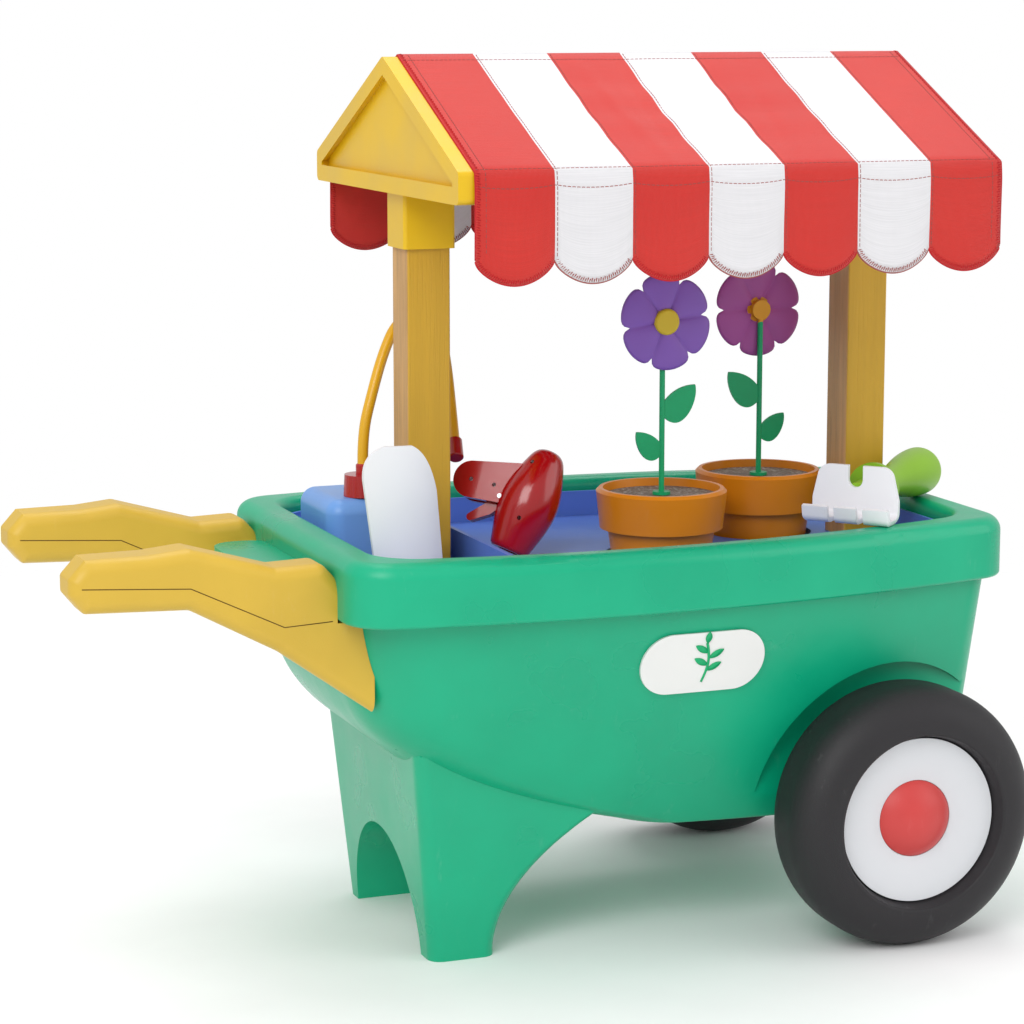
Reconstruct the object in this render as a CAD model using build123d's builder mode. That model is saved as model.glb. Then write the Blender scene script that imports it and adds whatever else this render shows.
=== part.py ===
"""Toddler's push garden cart: a moulded tub on two wheels, with a fabric canopy on two posts.

Millimetres.  +X runs from the push handles to the wheels, +Y is the pusher's left, +Z is up.
The origin is on the floor, in the middle of the overall length and width.
"""
from build123d import *
from math import cos, radians, sin, tan
import os

os.makedirs("parts", exist_ok=True)

# ---------------------------------------------------------------- driving dimensions
# overall
handle_end_x = -307.0
rim_handle_x = -145.0
rim_wheel_x = 307.0
side_names = {"right": -1, "left": 1}

# tub rim
rim_top_z = 266.0
lip_height = 39.0
lip_half_handle = 138.0
lip_half_mid = 154.0
lip_half_wheel = 118.0
lip_corner = 30.0
lip_skirt = 4.0
lip_top_round = 10.0
lip_bottom_round = 2.5
lip_overhang = 10.0
rim_width_end = 26.0
rim_width_side = 22.0
rim_inner_round = 7.0
rim_plate = 8.0

# tub body
wall = 3.0
body_top_z = rim_top_z - 36.0
body_bottom_z = 76.0
body_half_handle = 122.0
body_half_mid = 147.0
body_half_wheel = 110.0
body_side_draft = 49.0
body_handle_draft = 37.0
body_wheel_draft = 14.0
body_corner_handle = 50.0
body_corner_wheel = 22.0
scoop_length = 185.0
scoop_power = 3.6
wheel_end_draft = 13.0
body_levels = 8
ledge_reach = 36.0
ledge_half_width = 58.0
ledge_thickness = 13.0
ledge_top_z = 250.0

# legs
leg_front_x = -79.5
leg_back_x = -36.0
leg_half_width = 84.0
leg_top_z = 150.0
leg_front_draft = 0.095
leg_side_draft = 0.075
leg_flare = 64.0
leg_flare_height = 86.0
leg_flare_power = 2.2
leg_corner = 9.0
leg_levels = 6
arch_half_width = 64.0
arch_height = 69.0
foot_round = 5.0

# wheels and axle
wheel_x = 218.0
wheel_radius = 84.2
wheel_centre_y = 142.5
tyre_half_width = 30.5
tyre_lip_radius = 57.0
tyre_seat_radius = 53.0
tyre_bore_radius = 46.0
tyre_shoulder = 25.0
tyre_recess = 12.0
disc_thickness = 3.0
disc_dish = 4.5
cap_radius = 24.5
cap_rise = 12.5
axle_radius = 4.0
running_gap = 0.05
seat_gap = 0.2
well_radius = 90.0
well_shift_x = 4.0
well_shift_z = 2.0
well_inner_y = 104.0
bushing_radius = 6.5
bushing_flange_radius = 11.0
bushing_flange = 3.0
washer_thickness = 2.0
hub_radius = 12.0
nut_radius = 8.0
nut_thickness = 2.0

# handles
handle_y = 87.0
handle_width = 34.0
handle_gap = 0.2
handle_wall = 3.0
handle_edge_round = 8.0
handle_tip_z = 257.0
grip_height = 32.0
grip_top_z = 273.0
knee_x = -235.0
knee_top_z = 276.0
dip_x = -182.0
dip_z = 261.0
handle_top_end_x = -153.0
seam_knee_z = 253.0
seam_low_z = 225.7
seam_low_x = -178.0
bracket_x = -122.0
bracket_bottom_z = 168.0
knee_bottom_z = 239.0
bend_bottom_z = 210.0
bend_bottom_x = -181.0

# badges
badge_x = 81.0
badge_z = 191.0
badge_length = 84.0
badge_height = 40.0
badge_thickness = 2.0

# tray
tray_top_z = 257.0
tray_gap = 1.5
tray_wall = 2.5
tray_floor_z = 240.0
bay_floor_z = 185.0
bay_half_width = 92.0
divider_x = -28.0
divider_thickness = 3.0
cup_radius = 36.0
cup_floor_z = 210.0

# posts and canopy
post_size = 28.8
post_handle_x = -55.0
post_wheel_x = 253.0
post_bottom_z = 110.0
post_top_z = 540.0
post_corner = 1.5
post_gap = 0.3
socket_wall = 3.0
gable_plate = 10.3
gable_half_width = 139.0
gable_base_z = 476.0
gable_eave_z = 495.2
gable_apex_z = 560.0
gable_rim = 10.5
gable_recess = 5.0
gable_flange = 22.0
gable_flange_wall = 4.0
collar_bottom_z = 441.0
collar_wall = 2.4
rod_radius = 4.0
fabric_thickness = 1.4
fabric_gap = 0.3
fabric_start_x = -70.0
fabric_end_x = 279.0
stripe_count = 7
valance_z = 443.0
scallop_drop = 14.0

# pots and flowers
pot_a = (100.0, -26.0)
pot_b = (194.0, 26.0)
pot_rim_z = 283.0
pot_rim_radius = 42.5
pot_rim_height = 26.0
pot_top_radius = 35.0
pot_foot_radius = 28.0
pot_wall = 2.5
pot_seat_gap = 0.3
soil_depth = 5.0
soil_thickness = 3.0
stem_radius = 1.8
flower_z = 391.0
petal_count = 6
petal_radius = 11.5
petal_reach = 20.0
petal_thickness = 4.0
flower_centre_radius = 8.5
head_gap = 0.1
hub_half = 2.2
leaf_thickness = 1.6
clip_radius = 5.8

# sprayer tank, hose and gun
tank_front_x = -112.0
tank_back_x = -38.0
tank_near_y = 16.0
tank_far_y = 89.0
tank_top_z = 279.0
tank_wall = 2.0
tank_round = 11.0
cap_place = (-84.0, 33.0)
cap_radius_tank = 12.0
cap_height_tank = 14.0
cap_ribs = 20
nipple_radius = 4.6
hose_radius = 3.5
hose_route = [
    (-84.0, 33.0, 300.0),
    (-84.0, 33.0, 320.0),
    (-76.5, 35.5, 345.0),
    (-67.0, 42.0, 369.0),
    (-55.0, 49.0, 389.0),
    (-34.5, 60.5, 394.0),
    (-17.5, 70.5, 380.0),
    (-12.0, 73.5, 356.0),
    (-14.0, 60.0, 332.0),
    (-19.5, 38.0, 311.0),
]
gun_nozzle = (-3.0, -17.0, 246.0)
gun_back = (29.0, -12.0, 308.0)
gun_butt = (-24.0, 20.0, 288.0)
gun_radius = 19.0
gun_nose_radius = 13.0
gun_ring_length = 14.0
gun_wall = 2.5
grip_width = 24.0
grip_depth = 19.0
trigger_width = 7.0
trigger_slot = 8.0
pin_radius = 1.5
trigger_pivot = (30.0, 17.0)
trigger_middle = (20.0, 23.0)
trigger_tip = (11.0, 32.0)
trigger_sweep = [(30.0, 11.0), (12.0, 14.0), (10.0, 40.0), (27.0, 40.0), (37.0, 20.0)]
trigger_pin_half = 10.0
trigger_boss = 4.5
spring_radius = 3.4
spring_width = 1.6
screw_radius = 1.3
screw_head_radius = 2.5
screw_head_depth = 6.0
connector_radius = 5.0
connector_length = 15.0

# trowel and rake
trowel_x = -87.0
trowel_y = -66.0
trowel_half_width = 25.5
trowel_top_z = 325.0
trowel_neck_z = 238.0
trowel_curve = 40.0
trowel_thickness = 2.6
trowel_grip_radius = 11.0
tang_radius = 4.0
trowel_tang = 20.0
rake_place = (204.0, -98.0)
rake_turn = 42.0
rake_rest = 0.3
rake_half_width = 29.0
rake_half_top = 24.0
rake_plate_height = 35.5
rake_thickness = 3.2
rake_hook = 17.0
rake_tip = 11.0
rake_slot = 4.4
rake_notch = 5.0
rake_shoulder = 8.0
rake_flange_radius = 17.0
rake_flange_start = 30.0
rake_neck_radius = 9.0
rake_bulb_radius = 16.0
rake_bulb_reach = 115.0

# fasteners
handle_screw_places = (-285.0, -250.0)
handle_screw_radius = 1.6
handle_screw_head = 3.4
handle_screw_seat_z = 245.5
handle_screw_length = 20.0
handle_rib = 11.0
screw_head_thickness = 2.4
gable_screw_z = 452.0
gable_screw_length = 16.0


def save(piece, name):
    """Label a finished piece and write it."""
    piece.part.label = name
    export_step(piece.part, f"parts/{name}.step")


def bowed_outline(x_handle, x_wheel, half_handle, half_mid, half_wheel, corner_handle, corner_wheel):
    """Plan outline with bowed long sides and rounded corners."""
    middle = (x_handle + x_wheel) / 2
    with BuildSketch() as outline:
        with BuildLine():
            ThreePointArc((x_handle, half_handle), (middle, half_mid), (x_wheel, half_wheel))
            Line((x_wheel, half_wheel), (x_wheel, -half_wheel))
            ThreePointArc((x_wheel, -half_wheel), (middle, -half_mid), (x_handle, -half_handle))
            Line((x_handle, -half_handle), (x_handle, half_handle))
        make_face()
        fillet(outline.vertices().group_by(Axis.X)[0], corner_handle)
        fillet(outline.vertices().group_by(Axis.X)[-1], corner_wheel)
    return outline.sketch


def lip_outline(inset=0.0):
    """The rim's outer edge, or the same edge moved inwards."""
    return bowed_outline(
        rim_handle_x + inset,
        rim_wheel_x - inset,
        lip_half_handle - inset,
        lip_half_mid - inset,
        lip_half_wheel - inset,
        lip_corner - inset,
        lip_corner - inset,
    )


def opening_outline(inset=0.0):
    """The mouth of the tub inside its rim, or the same mouth moved inwards."""
    return bowed_outline(
        rim_handle_x + rim_width_end + inset,
        rim_wheel_x - rim_width_end - inset,
        lip_half_handle - rim_width_side - inset,
        lip_half_mid - rim_width_side - inset,
        lip_half_wheel - rim_width_side - inset,
        lip_corner - inset,
        lip_corner - inset,
    )


def body_outline(z, inset=0.0):
    """Outline of the tub's body at a height: it tapers down and scoops up at the handle end."""
    depth = min(max((body_top_z - z) / (body_top_z - body_bottom_z), 0), 1)
    return bowed_outline(
        rim_handle_x + lip_overhang + scoop_length * depth**scoop_power + inset,
        rim_wheel_x - lip_overhang - wheel_end_draft * depth - inset,
        body_half_handle - body_handle_draft * depth - inset,
        body_half_mid - body_side_draft * depth - inset,
        body_half_wheel - body_wheel_draft * depth - inset,
        body_corner_handle - inset,
        body_corner_wheel - inset,
    )


def body_heights(low):
    """Heights of the body's sections, closer together towards the bottom."""
    steps = [(i / (body_levels - 1)) ** 0.7 for i in range(body_levels)]
    return [low + (body_top_z - low) * (1 - s) for s in steps][::-1]


def leg_outline(z, inset=0.0):
    """Outline of the leg pod at a height: it flares into the body at its wheel side."""
    front = leg_front_x - leg_front_draft * z + inset
    back = leg_back_x + leg_flare * (z / leg_flare_height) ** leg_flare_power - inset
    half = leg_half_width + leg_side_draft * z - inset
    with BuildSketch() as outline:
        with Locations(((front + back) / 2, 0)):
            RectangleRounded(back - front, 2 * half, leg_corner - inset)
    return outline.sketch


# ---------------------------------------------------------------- tub
lip_bottom_z = rim_top_z - lip_height
plate_z = rim_top_z - rim_plate

with BuildPart() as body_outer:
    for level in body_heights(body_bottom_z):
        with BuildSketch(Plane.XY.offset(level)):
            add(body_outline(level))
    loft()
    fillet(body_outer.faces().sort_by(Axis.Z)[0].edges(), foot_round)

with BuildPart() as body_clearance:
    for level in body_heights(body_bottom_z):
        with BuildSketch(Plane.XY.offset(level)):
            add(body_outline(level, -handle_gap))
    loft()

with BuildPart() as leg_pod:
    for i in range(leg_levels):
        level = leg_top_z * i / (leg_levels - 1)
        with BuildSketch(Plane.XY.offset(level)):
            add(leg_outline(level))
    loft()

with BuildPart() as cavity:
    for level in body_heights(body_bottom_z + wall):
        with BuildSketch(Plane.XY.offset(level)):
            add(body_outline(level, wall))
    loft()
    with BuildSketch(Plane.XY.offset(body_top_z)):
        add(body_outline(body_top_z, wall))
    extrude(amount=plate_z - body_top_z)

    # the wheel wells keep their own wall
    for side in side_names.values():
        with BuildSketch(Plane.XZ.offset(-side * (well_inner_y - wall))):
            with Locations((wheel_x + well_shift_x, wheel_radius + well_shift_z)):
                Circle(well_radius + wall)
        extrude(amount=-side * 80, mode=Mode.SUBTRACT)

with BuildPart() as leg_cavity:
    for i in range(leg_levels):
        level = wall + (leg_top_z - wall) * i / (leg_levels - 1)
        with BuildSketch(Plane.XY.offset(level)):
            add(leg_outline(level, wall))
    loft()
    with BuildSketch(Plane.YZ.offset(leg_front_x - 60)):
        Ellipse(arch_half_width + wall, arch_height + wall)
    extrude(amount=260, mode=Mode.SUBTRACT)

socket_half = post_size / 2 + post_gap + socket_wall
bay_bottom_z = bay_floor_z - tray_wall
main_bottom_z = tray_floor_z - tray_wall

with BuildPart() as tub:
    with BuildSketch(Plane.XY.offset(lip_bottom_z)):
        add(lip_outline())
    extrude(amount=lip_height)
    fillet(tub.faces().sort_by(Axis.Z)[-1].edges(), lip_top_round)
    fillet(tub.faces().sort_by(Axis.Z)[0].edges(), lip_bottom_round)
    # the lip is a hollow skirt
    with BuildSketch(Plane.XY.offset(lip_bottom_z)):
        add(lip_outline(lip_skirt))
    extrude(amount=plate_z - lip_bottom_z, mode=Mode.SUBTRACT)
    # the body's wall runs up to the rim plate
    add(body_outer.part)
    with BuildSketch(Plane.XY.offset(body_top_z)):
        add(body_outline(body_top_z))
    extrude(amount=plate_z - body_top_z)
    add(leg_pod.part)
    # the ledge between the handles
    with BuildSketch(Plane.XY.offset(ledge_top_z - ledge_thickness)):
        with Locations((rim_handle_x + lip_skirt / 2 - ledge_reach / 2, 0)):
            RectangleRounded(ledge_reach + lip_skirt, 2 * ledge_half_width, 18)
    extrude(amount=ledge_thickness)
    add(cavity.part, mode=Mode.SUBTRACT)
    add(leg_cavity.part, mode=Mode.SUBTRACT)
    # the inner edge of the rim turns down
    with BuildSketch(Plane.XY.offset(lip_bottom_z)):
        add(opening_outline(-wall))
    extrude(amount=lip_height - 1)
    with BuildSketch(Plane.XY.offset(lip_bottom_z)):
        add(opening_outline())
    extrude(amount=lip_height + 1, mode=Mode.SUBTRACT)
    # square sockets that the posts stand in, up to the underside of the tray
    for post_x, top in ((post_handle_x, bay_bottom_z), (post_wheel_x, main_bottom_z)):
        with BuildSketch(Plane.XY.offset(arch_height - 6)):
            with Locations((post_x, 0)):
                Rectangle(2 * socket_half, 2 * socket_half)
        extrude(amount=top - seat_gap - arch_height + 6)
        with BuildSketch(Plane.XY.offset(post_bottom_z)):
            with Locations((post_x, 0)):
                Rectangle(post_size + 2 * post_gap, post_size + 2 * post_gap)
        extrude(amount=rim_top_z - post_bottom_z, mode=Mode.SUBTRACT)
    # the underside is trimmed flat, then the arch and the wheel wells are cut
    with BuildSketch(Plane.YZ.offset(leg_front_x - 60)):
        Ellipse(arch_half_width, arch_height)
    extrude(amount=200, mode=Mode.SUBTRACT)
    with BuildSketch(Plane.XY.offset(body_bottom_z)):
        with Locations((post_wheel_x, 0)):
            Rectangle(2 * socket_half + 2, 2 * socket_half + 2)
    extrude(amount=-20, mode=Mode.SUBTRACT)
    for side in side_names.values():
        with BuildSketch(Plane.XZ.offset(-side * well_inner_y)):
            with Locations((wheel_x + well_shift_x, wheel_radius + well_shift_z)):
                Circle(well_radius)
        extrude(amount=-side * 80, mode=Mode.SUBTRACT)
    # holes for the axle bushings
    with BuildSketch(Plane.XZ.offset(-body_half_mid)):
        with Locations((wheel_x, wheel_radius)):
            Circle(bushing_radius + running_gap)
    extrude(amount=2 * body_half_mid, mode=Mode.SUBTRACT)
    # the rim's inner edge is rounded like its outer one
    rim_top = tub.faces().filter_by(Axis.Z).sort_by(Axis.Z)[-1]
    fillet([edge for wire in rim_top.inner_wires() for edge in wire.edges()], rim_inner_round)
save(tub, "tub")

# ---------------------------------------------------------------- axle and wheels
tyre_inner_y = wheel_centre_y - tyre_half_width
tyre_outer_y = wheel_centre_y + tyre_half_width
disc_seat_y = tyre_outer_y - tyre_recess
disc_front_y = disc_seat_y + disc_thickness
pocket_y = disc_front_y - disc_dish - disc_thickness
flange_y = well_inner_y + bushing_flange
washer_y = flange_y + 0.3
hub_start_y = washer_y + washer_thickness + 0.7
axle_end_y = pocket_y + nut_thickness + 3.0
wheel_centre = (wheel_x, 0, wheel_radius)


def wheel_plane(side):
    """Local x is the radius and local y runs outwards along the axle."""
    return Plane(origin=wheel_centre, x_dir=(1, 0, 0), z_dir=(0, 0, side))


def axle_line(side):
    """The axle's centre line as an axis."""
    return Axis(wheel_centre, (0, side, 0))


with BuildPart() as axle:
    with BuildSketch(Plane.XZ.offset(-axle_end_y)):
        with Locations((wheel_x, wheel_radius)):
            Circle(axle_radius)
    extrude(amount=2 * axle_end_y)
    chamfer(axle.edges().filter_by(GeomType.CIRCLE), 0.8)
save(axle, "axle")

with BuildPart() as axle_washers:
    for side in side_names.values():
        with BuildSketch(Plane.XZ.offset(-side * washer_y)):
            with Locations((wheel_x, wheel_radius)):
                Circle(bushing_flange_radius - 1)
                Circle(axle_radius + running_gap, mode=Mode.SUBTRACT)
        extrude(amount=-side * washer_thickness)
save(axle_washers, "axle_washers")

with BuildPart() as push_nuts:
    for side in side_names.values():
        with BuildSketch(Plane.XZ.offset(-side * (pocket_y + 0.3))):
            with Locations((wheel_x, wheel_radius)):
                Circle(nut_radius)
                Circle(axle_radius + running_gap, mode=Mode.SUBTRACT)
        extrude(amount=-side * nut_thickness)
save(push_nuts, "push_nuts")

for side_name, side in side_names.items():
    with BuildPart() as bushing:
        with BuildSketch(wheel_plane(side)):
            with BuildLine():
                Polyline(
                    (axle_radius + running_gap, well_inner_y - wall - 3),
                    (bushing_radius, well_inner_y - wall - 3),
                    (bushing_radius, well_inner_y),
                    (bushing_flange_radius, well_inner_y),
                    (bushing_flange_radius, flange_y),
                    (axle_radius + running_gap, flange_y),
                    close=True,
                )
            make_face()
        revolve(axis=axle_line(side))
    save(bushing, f"bushing_{side_name}")

    with BuildPart() as tyre:
        with BuildSketch(wheel_plane(side)):
            with BuildLine():
                Line((tyre_bore_radius, disc_seat_y), (tyre_seat_radius, disc_seat_y))
                Line((tyre_seat_radius, disc_seat_y), (tyre_lip_radius - 1, tyre_outer_y - 1))
                ThreePointArc(
                    (tyre_lip_radius - 1, tyre_outer_y - 1),
                    (tyre_lip_radius, tyre_outer_y - 0.2),
                    (tyre_lip_radius + 2, tyre_outer_y),
                )
                ThreePointArc(
                    (tyre_lip_radius + 2, tyre_outer_y),
                    (wheel_radius - 0.29 * tyre_shoulder, tyre_outer_y - 0.27 * tyre_shoulder),
                    (wheel_radius, tyre_outer_y - tyre_shoulder),
                )
                Line(
                    (wheel_radius, tyre_outer_y - tyre_shoulder),
                    (wheel_radius, tyre_inner_y + tyre_shoulder),
                )
                ThreePointArc(
                    (wheel_radius, tyre_inner_y + tyre_shoulder),
                    (wheel_radius - 0.29 * tyre_shoulder, tyre_inner_y + 0.27 * tyre_shoulder),
                    (tyre_lip_radius + 2, tyre_inner_y),
                )
                Line((tyre_lip_radius + 2, tyre_inner_y), (tyre_bore_radius, tyre_inner_y))
                Line((tyre_bore_radius, tyre_inner_y), (tyre_bore_radius, disc_seat_y))
            make_face()
        revolve(axis=axle_line(side))
    save(tyre, f"tyre_{side_name}")

    with BuildPart() as disc:
        with BuildSketch(wheel_plane(side)):
            with BuildLine():
                Polyline(
                    (axle_radius + running_gap, hub_start_y),
                    (hub_radius, hub_start_y),
                    (hub_radius, pocket_y - disc_thickness),
                    (cap_radius, pocket_y - disc_thickness),
                    (tyre_bore_radius, disc_seat_y),
                    (tyre_seat_radius - 0.3, disc_seat_y),
                    (tyre_seat_radius - 0.3, disc_front_y),
                    (cap_radius + 0.3, disc_front_y - disc_dish),
                    (cap_radius + 0.3, pocket_y),
                    (axle_radius + running_gap, pocket_y),
                    close=True,
                )
            make_face()
        revolve(axis=axle_line(side))
    save(disc, f"wheel_disc_{side_name}")

    with BuildPart() as cap:
        with BuildSketch(wheel_plane(side)):
            with BuildLine():
                ThreePointArc(
                    (0, pocket_y + cap_rise),
                    (0.6 * cap_radius, pocket_y + 0.78 * cap_rise),
                    (cap_radius - 1.5, pocket_y + 0.36 * cap_rise),
                )
                Polyline(
                    (cap_radius - 1.5, pocket_y + 0.36 * cap_rise),
                    (cap_radius, pocket_y + 0.24 * cap_rise),
                    (cap_radius, pocket_y),
                    (nut_radius + 2, pocket_y),
                    (nut_radius + 2, axle_end_y + 1),
                    (0, axle_end_y + 1),
                    (0, pocket_y + cap_rise),
                )
            make_face()
        revolve(axis=axle_line(side))
    save(cap, f"hub_cap_{side_name}")

# ---------------------------------------------------------------- handles
seam_points = [
    (handle_end_x - 10, handle_tip_z),
    (knee_x, seam_knee_z),
    (seam_low_x, seam_low_z),
    (bracket_x + 10, seam_low_z),
]
for side_name, side in side_names.items():
    handle_plane = Plane.XZ.offset(-side * handle_y - handle_width / 2)
    cavity_plane = Plane.XZ.offset(-side * handle_y - handle_width / 2 + handle_wall)
    with BuildPart() as handle_body:
        with BuildSketch(handle_plane) as handle_side:
            with BuildLine():
                Polyline(
                    (handle_end_x, handle_tip_z + 5),
                    (handle_end_x + 10, grip_top_z),
                    (knee_x - 24, grip_top_z + 0.5),
                    (knee_x, knee_top_z),
                    (dip_x, dip_z),
                    (handle_top_end_x, dip_z + 1),
                    (rim_handle_x, dip_z - 8),
                    (rim_handle_x, seam_low_z),
                    (bracket_x, seam_low_z),
                    (bracket_x, bracket_bottom_z),
                    (bend_bottom_x, bend_bottom_z),
                    (knee_x, knee_bottom_z),
                    (handle_end_x + 9, grip_top_z - grip_height),
                    (handle_end_x, handle_tip_z - 5),
                    close=True,
                )
            make_face()
            fillet(handle_side.vertices().group_by(Axis.X)[0:2], 3)
            bends = handle_side.vertices().filter_by_position(Axis.X, knee_x - 30, handle_top_end_x + 1)
            fillet(bends, handle_edge_round)
        extrude(amount=handle_width)
        side_faces = handle_body.faces().filter_by(Axis.Y)
        grip_edges = side_faces.edges().filter_by_position(Axis.X, handle_end_x, dip_x + 20)
        fillet(grip_edges, handle_edge_round)
        # the shells are hollow
        with BuildSketch(cavity_plane):
            add(handle_side.sketch_local)
            offset(amount=-handle_wall, kind=Kind.INTERSECTION, mode=Mode.REPLACE)
            with Locations(*[(x, handle_tip_z) for x in handle_screw_places]):
                Rectangle(handle_rib, 2 * handle_width, mode=Mode.SUBTRACT)
        extrude(amount=handle_width - 2 * handle_wall, mode=Mode.SUBTRACT)
        # screw holes through the ribs, from below
        with BuildSketch(Plane.XY.offset(handle_screw_seat_z)):
            with Locations(*[(x, side * handle_y) for x in handle_screw_places]):
                Circle(handle_screw_radius + running_gap)
        extrude(amount=handle_screw_length + 1, mode=Mode.SUBTRACT)
        with BuildSketch(Plane.XY.offset(handle_screw_seat_z)):
            with Locations(*[(x, side * handle_y) for x in handle_screw_places]):
                Circle(handle_screw_head + running_gap)
        extrude(amount=-grip_height, mode=Mode.SUBTRACT)
    for half, top in (("upper", 300), ("lower", 100)):
        with BuildPart() as handle_shell:
            add(handle_body.part)
            with BuildSketch(handle_plane.offset(-5)):
                with BuildLine():
                    Polyline(*seam_points, (bracket_x + 10, top), (handle_end_x - 10, top), close=True)
                make_face()
            extrude(amount=handle_width + 10, mode=Mode.INTERSECT)
            add(body_clearance.part, mode=Mode.SUBTRACT)
        save(handle_shell, f"handle_{side_name}_{half}")

with BuildPart() as handle_screws:
    places = [(x, side * handle_y) for x in handle_screw_places for side in side_names.values()]
    with BuildSketch(Plane.XY.offset(handle_screw_seat_z)):
        with Locations(*places):
            Circle(handle_screw_head)
    extrude(amount=-screw_head_thickness)
    with BuildSketch(Plane.XY.offset(handle_screw_seat_z)):
        with Locations(*places):
            Circle(handle_screw_radius)
    extrude(amount=handle_screw_length)
save(handle_screws, "handle_screws")

# ---------------------------------------------------------------- badges
# each badge is a curved plate that follows the leaning, bowed wall
with BuildPart() as badge_layer:
    for level in body_heights(body_bottom_z):
        with BuildSketch(Plane.XY.offset(level)):
            add(body_outline(level, -handle_gap - badge_thickness))
    loft()

for side_name, side in side_names.items():
    with BuildPart() as badge:
        with BuildSketch(Plane(origin=(badge_x, 0, badge_z), x_dir=(-side, 0, 0), z_dir=(0, side, 0))):
            SlotOverall(badge_length, badge_height)
        extrude(amount=2 * body_half_mid)
        add(badge_layer.part, mode=Mode.INTERSECT)
        add(body_clearance.part, mode=Mode.SUBTRACT)
    save(badge, f"badge_{side_name}")

# ---------------------------------------------------------------- tray
with BuildPart() as tray:
    # shallow main tray
    with BuildSketch(Plane.XY.offset(main_bottom_z)):
        add(opening_outline(tray_gap))
    extrude(amount=tray_top_z - main_bottom_z)
    # deep bay at the handle end, and a cup under each pot
    with BuildSketch(Plane.XY.offset(bay_bottom_z)):
        with Locations(((rim_handle_x + rim_width_end + tray_gap + 2 + divider_x) / 2, 0)):
            RectangleRounded(
                divider_x - rim_handle_x - rim_width_end - tray_gap - 2 + divider_thickness,
                2 * bay_half_width,
                6,
            )
    extrude(amount=main_bottom_z - bay_bottom_z)
    with BuildSketch(Plane.XY.offset(cup_floor_z - tray_wall)):
        with Locations(pot_a, pot_b):
            Circle(cup_radius + tray_wall)
    extrude(amount=main_bottom_z - cup_floor_z + tray_wall)
    # hollow each of them out
    with BuildSketch(Plane.XY.offset(tray_floor_z)):
        add(opening_outline(tray_gap + tray_wall))
    extrude(amount=tray_top_z - tray_floor_z, mode=Mode.SUBTRACT)
    with BuildSketch(Plane.XY.offset(bay_floor_z)):
        with Locations(((rim_handle_x + rim_width_end + tray_gap + 2 + divider_x) / 2, 0)):
            RectangleRounded(
                divider_x - rim_handle_x - rim_width_end - tray_gap - 2 + divider_thickness - 2 * tray_wall,
                2 * bay_half_width - 2 * tray_wall,
                4,
            )
    extrude(amount=tray_top_z - bay_floor_z, mode=Mode.SUBTRACT)
    with BuildSketch(Plane.XY.offset(cup_floor_z)):
        with Locations(pot_a, pot_b):
            Circle(cup_radius)
    extrude(amount=tray_top_z - cup_floor_z, mode=Mode.SUBTRACT)
    # the divider between bay and main tray
    with BuildSketch(Plane.XY.offset(main_bottom_z)):
        with Locations((divider_x, 0)):
            Rectangle(divider_thickness, 2 * (lip_half_handle - rim_width_side - 1))
    extrude(amount=tray_top_z - main_bottom_z)
    # square holes for the posts
    with BuildSketch(Plane.XY.offset(bay_bottom_z - 1)):
        with Locations((post_handle_x, 0), (post_wheel_x, 0)):
            Rectangle(post_size + 2 * post_gap, post_size + 2 * post_gap)
    extrude(amount=tray_top_z - bay_bottom_z + 2, mode=Mode.SUBTRACT)
save(tray, "tray")

# ---------------------------------------------------------------- posts, gables and rods
post_names = {"handle_end": (post_handle_x, -1), "wheel_end": (post_wheel_x, 1)}
collar_half = post_size / 2 + post_gap + collar_wall
flange_end = {}

for post_name, (post_x, outward) in post_names.items():
    with BuildPart() as post:
        with BuildSketch(Plane.XY.offset(post_bottom_z)):
            with Locations((post_x, 0)):
                RectangleRounded(post_size, post_size, post_corner)
        extrude(amount=post_top_z - post_bottom_z)
        with BuildSketch(Plane.YZ.offset(post_x)):
            with Locations((0, gable_screw_z)):
                Circle(handle_screw_radius + running_gap)
        extrude(amount=-outward * post_size, mode=Mode.SUBTRACT)
    save(post, f"post_{post_name}")

    post_face = post_x + outward * (post_size / 2 + post_gap)
    flange_end[post_name] = post_face - outward * gable_flange
    gable_plane = Plane(
        origin=(post_face + outward * gable_plate, 0, 0),
        x_dir=(0, 1, 0),
        z_dir=(-outward, 0, 0),
    )
    up = -outward
    with BuildPart() as gable:
        with BuildSketch(gable_plane) as gable_face:
            with BuildLine():
                Polyline(
                    (-gable_half_width, up * gable_base_z),
                    (gable_half_width, up * gable_base_z),
                    (gable_half_width, up * gable_eave_z),
                    (0, up * gable_apex_z),
                    (-gable_half_width, up * gable_eave_z),
                    close=True,
                )
            make_face()
            fillet(gable_face.vertices(), 4)
        extrude(amount=gable_plate + gable_flange)
        # the pan behind the plate
        with BuildSketch(gable_plane.offset(gable_plate)):
            add(gable_face.sketch_local)
            offset(amount=-gable_flange_wall, mode=Mode.REPLACE)
        extrude(amount=gable_flange, mode=Mode.SUBTRACT)
        # the recessed panel in front
        with BuildSketch(gable_plane):
            add(gable_face.sketch_local)
            offset(amount=-gable_rim, mode=Mode.REPLACE)
        extrude(amount=gable_recess, taper=-20, mode=Mode.SUBTRACT)
        # the collar that takes the post
        with BuildSketch(Plane.XY.offset(collar_bottom_z)):
            with Locations((post_x, 0)):
                RectangleRounded(2 * collar_half, 2 * collar_half, 2.5)
        extrude(amount=post_top_z - collar_bottom_z - 30)
        with BuildSketch(Plane.XY.offset(collar_bottom_z)):
            with Locations((post_x, 0)):
                Rectangle(post_size + 2 * post_gap, post_size + 2 * post_gap)
        extrude(amount=post_top_z - collar_bottom_z + 1, mode=Mode.SUBTRACT)
        with BuildSketch(Plane.YZ.offset(post_x)):
            with Locations((0, gable_screw_z)):
                Circle(handle_screw_radius + running_gap)
        extrude(amount=-outward * post_size, mode=Mode.SUBTRACT)
    save(gable, f"gable_{post_name}")

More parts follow.
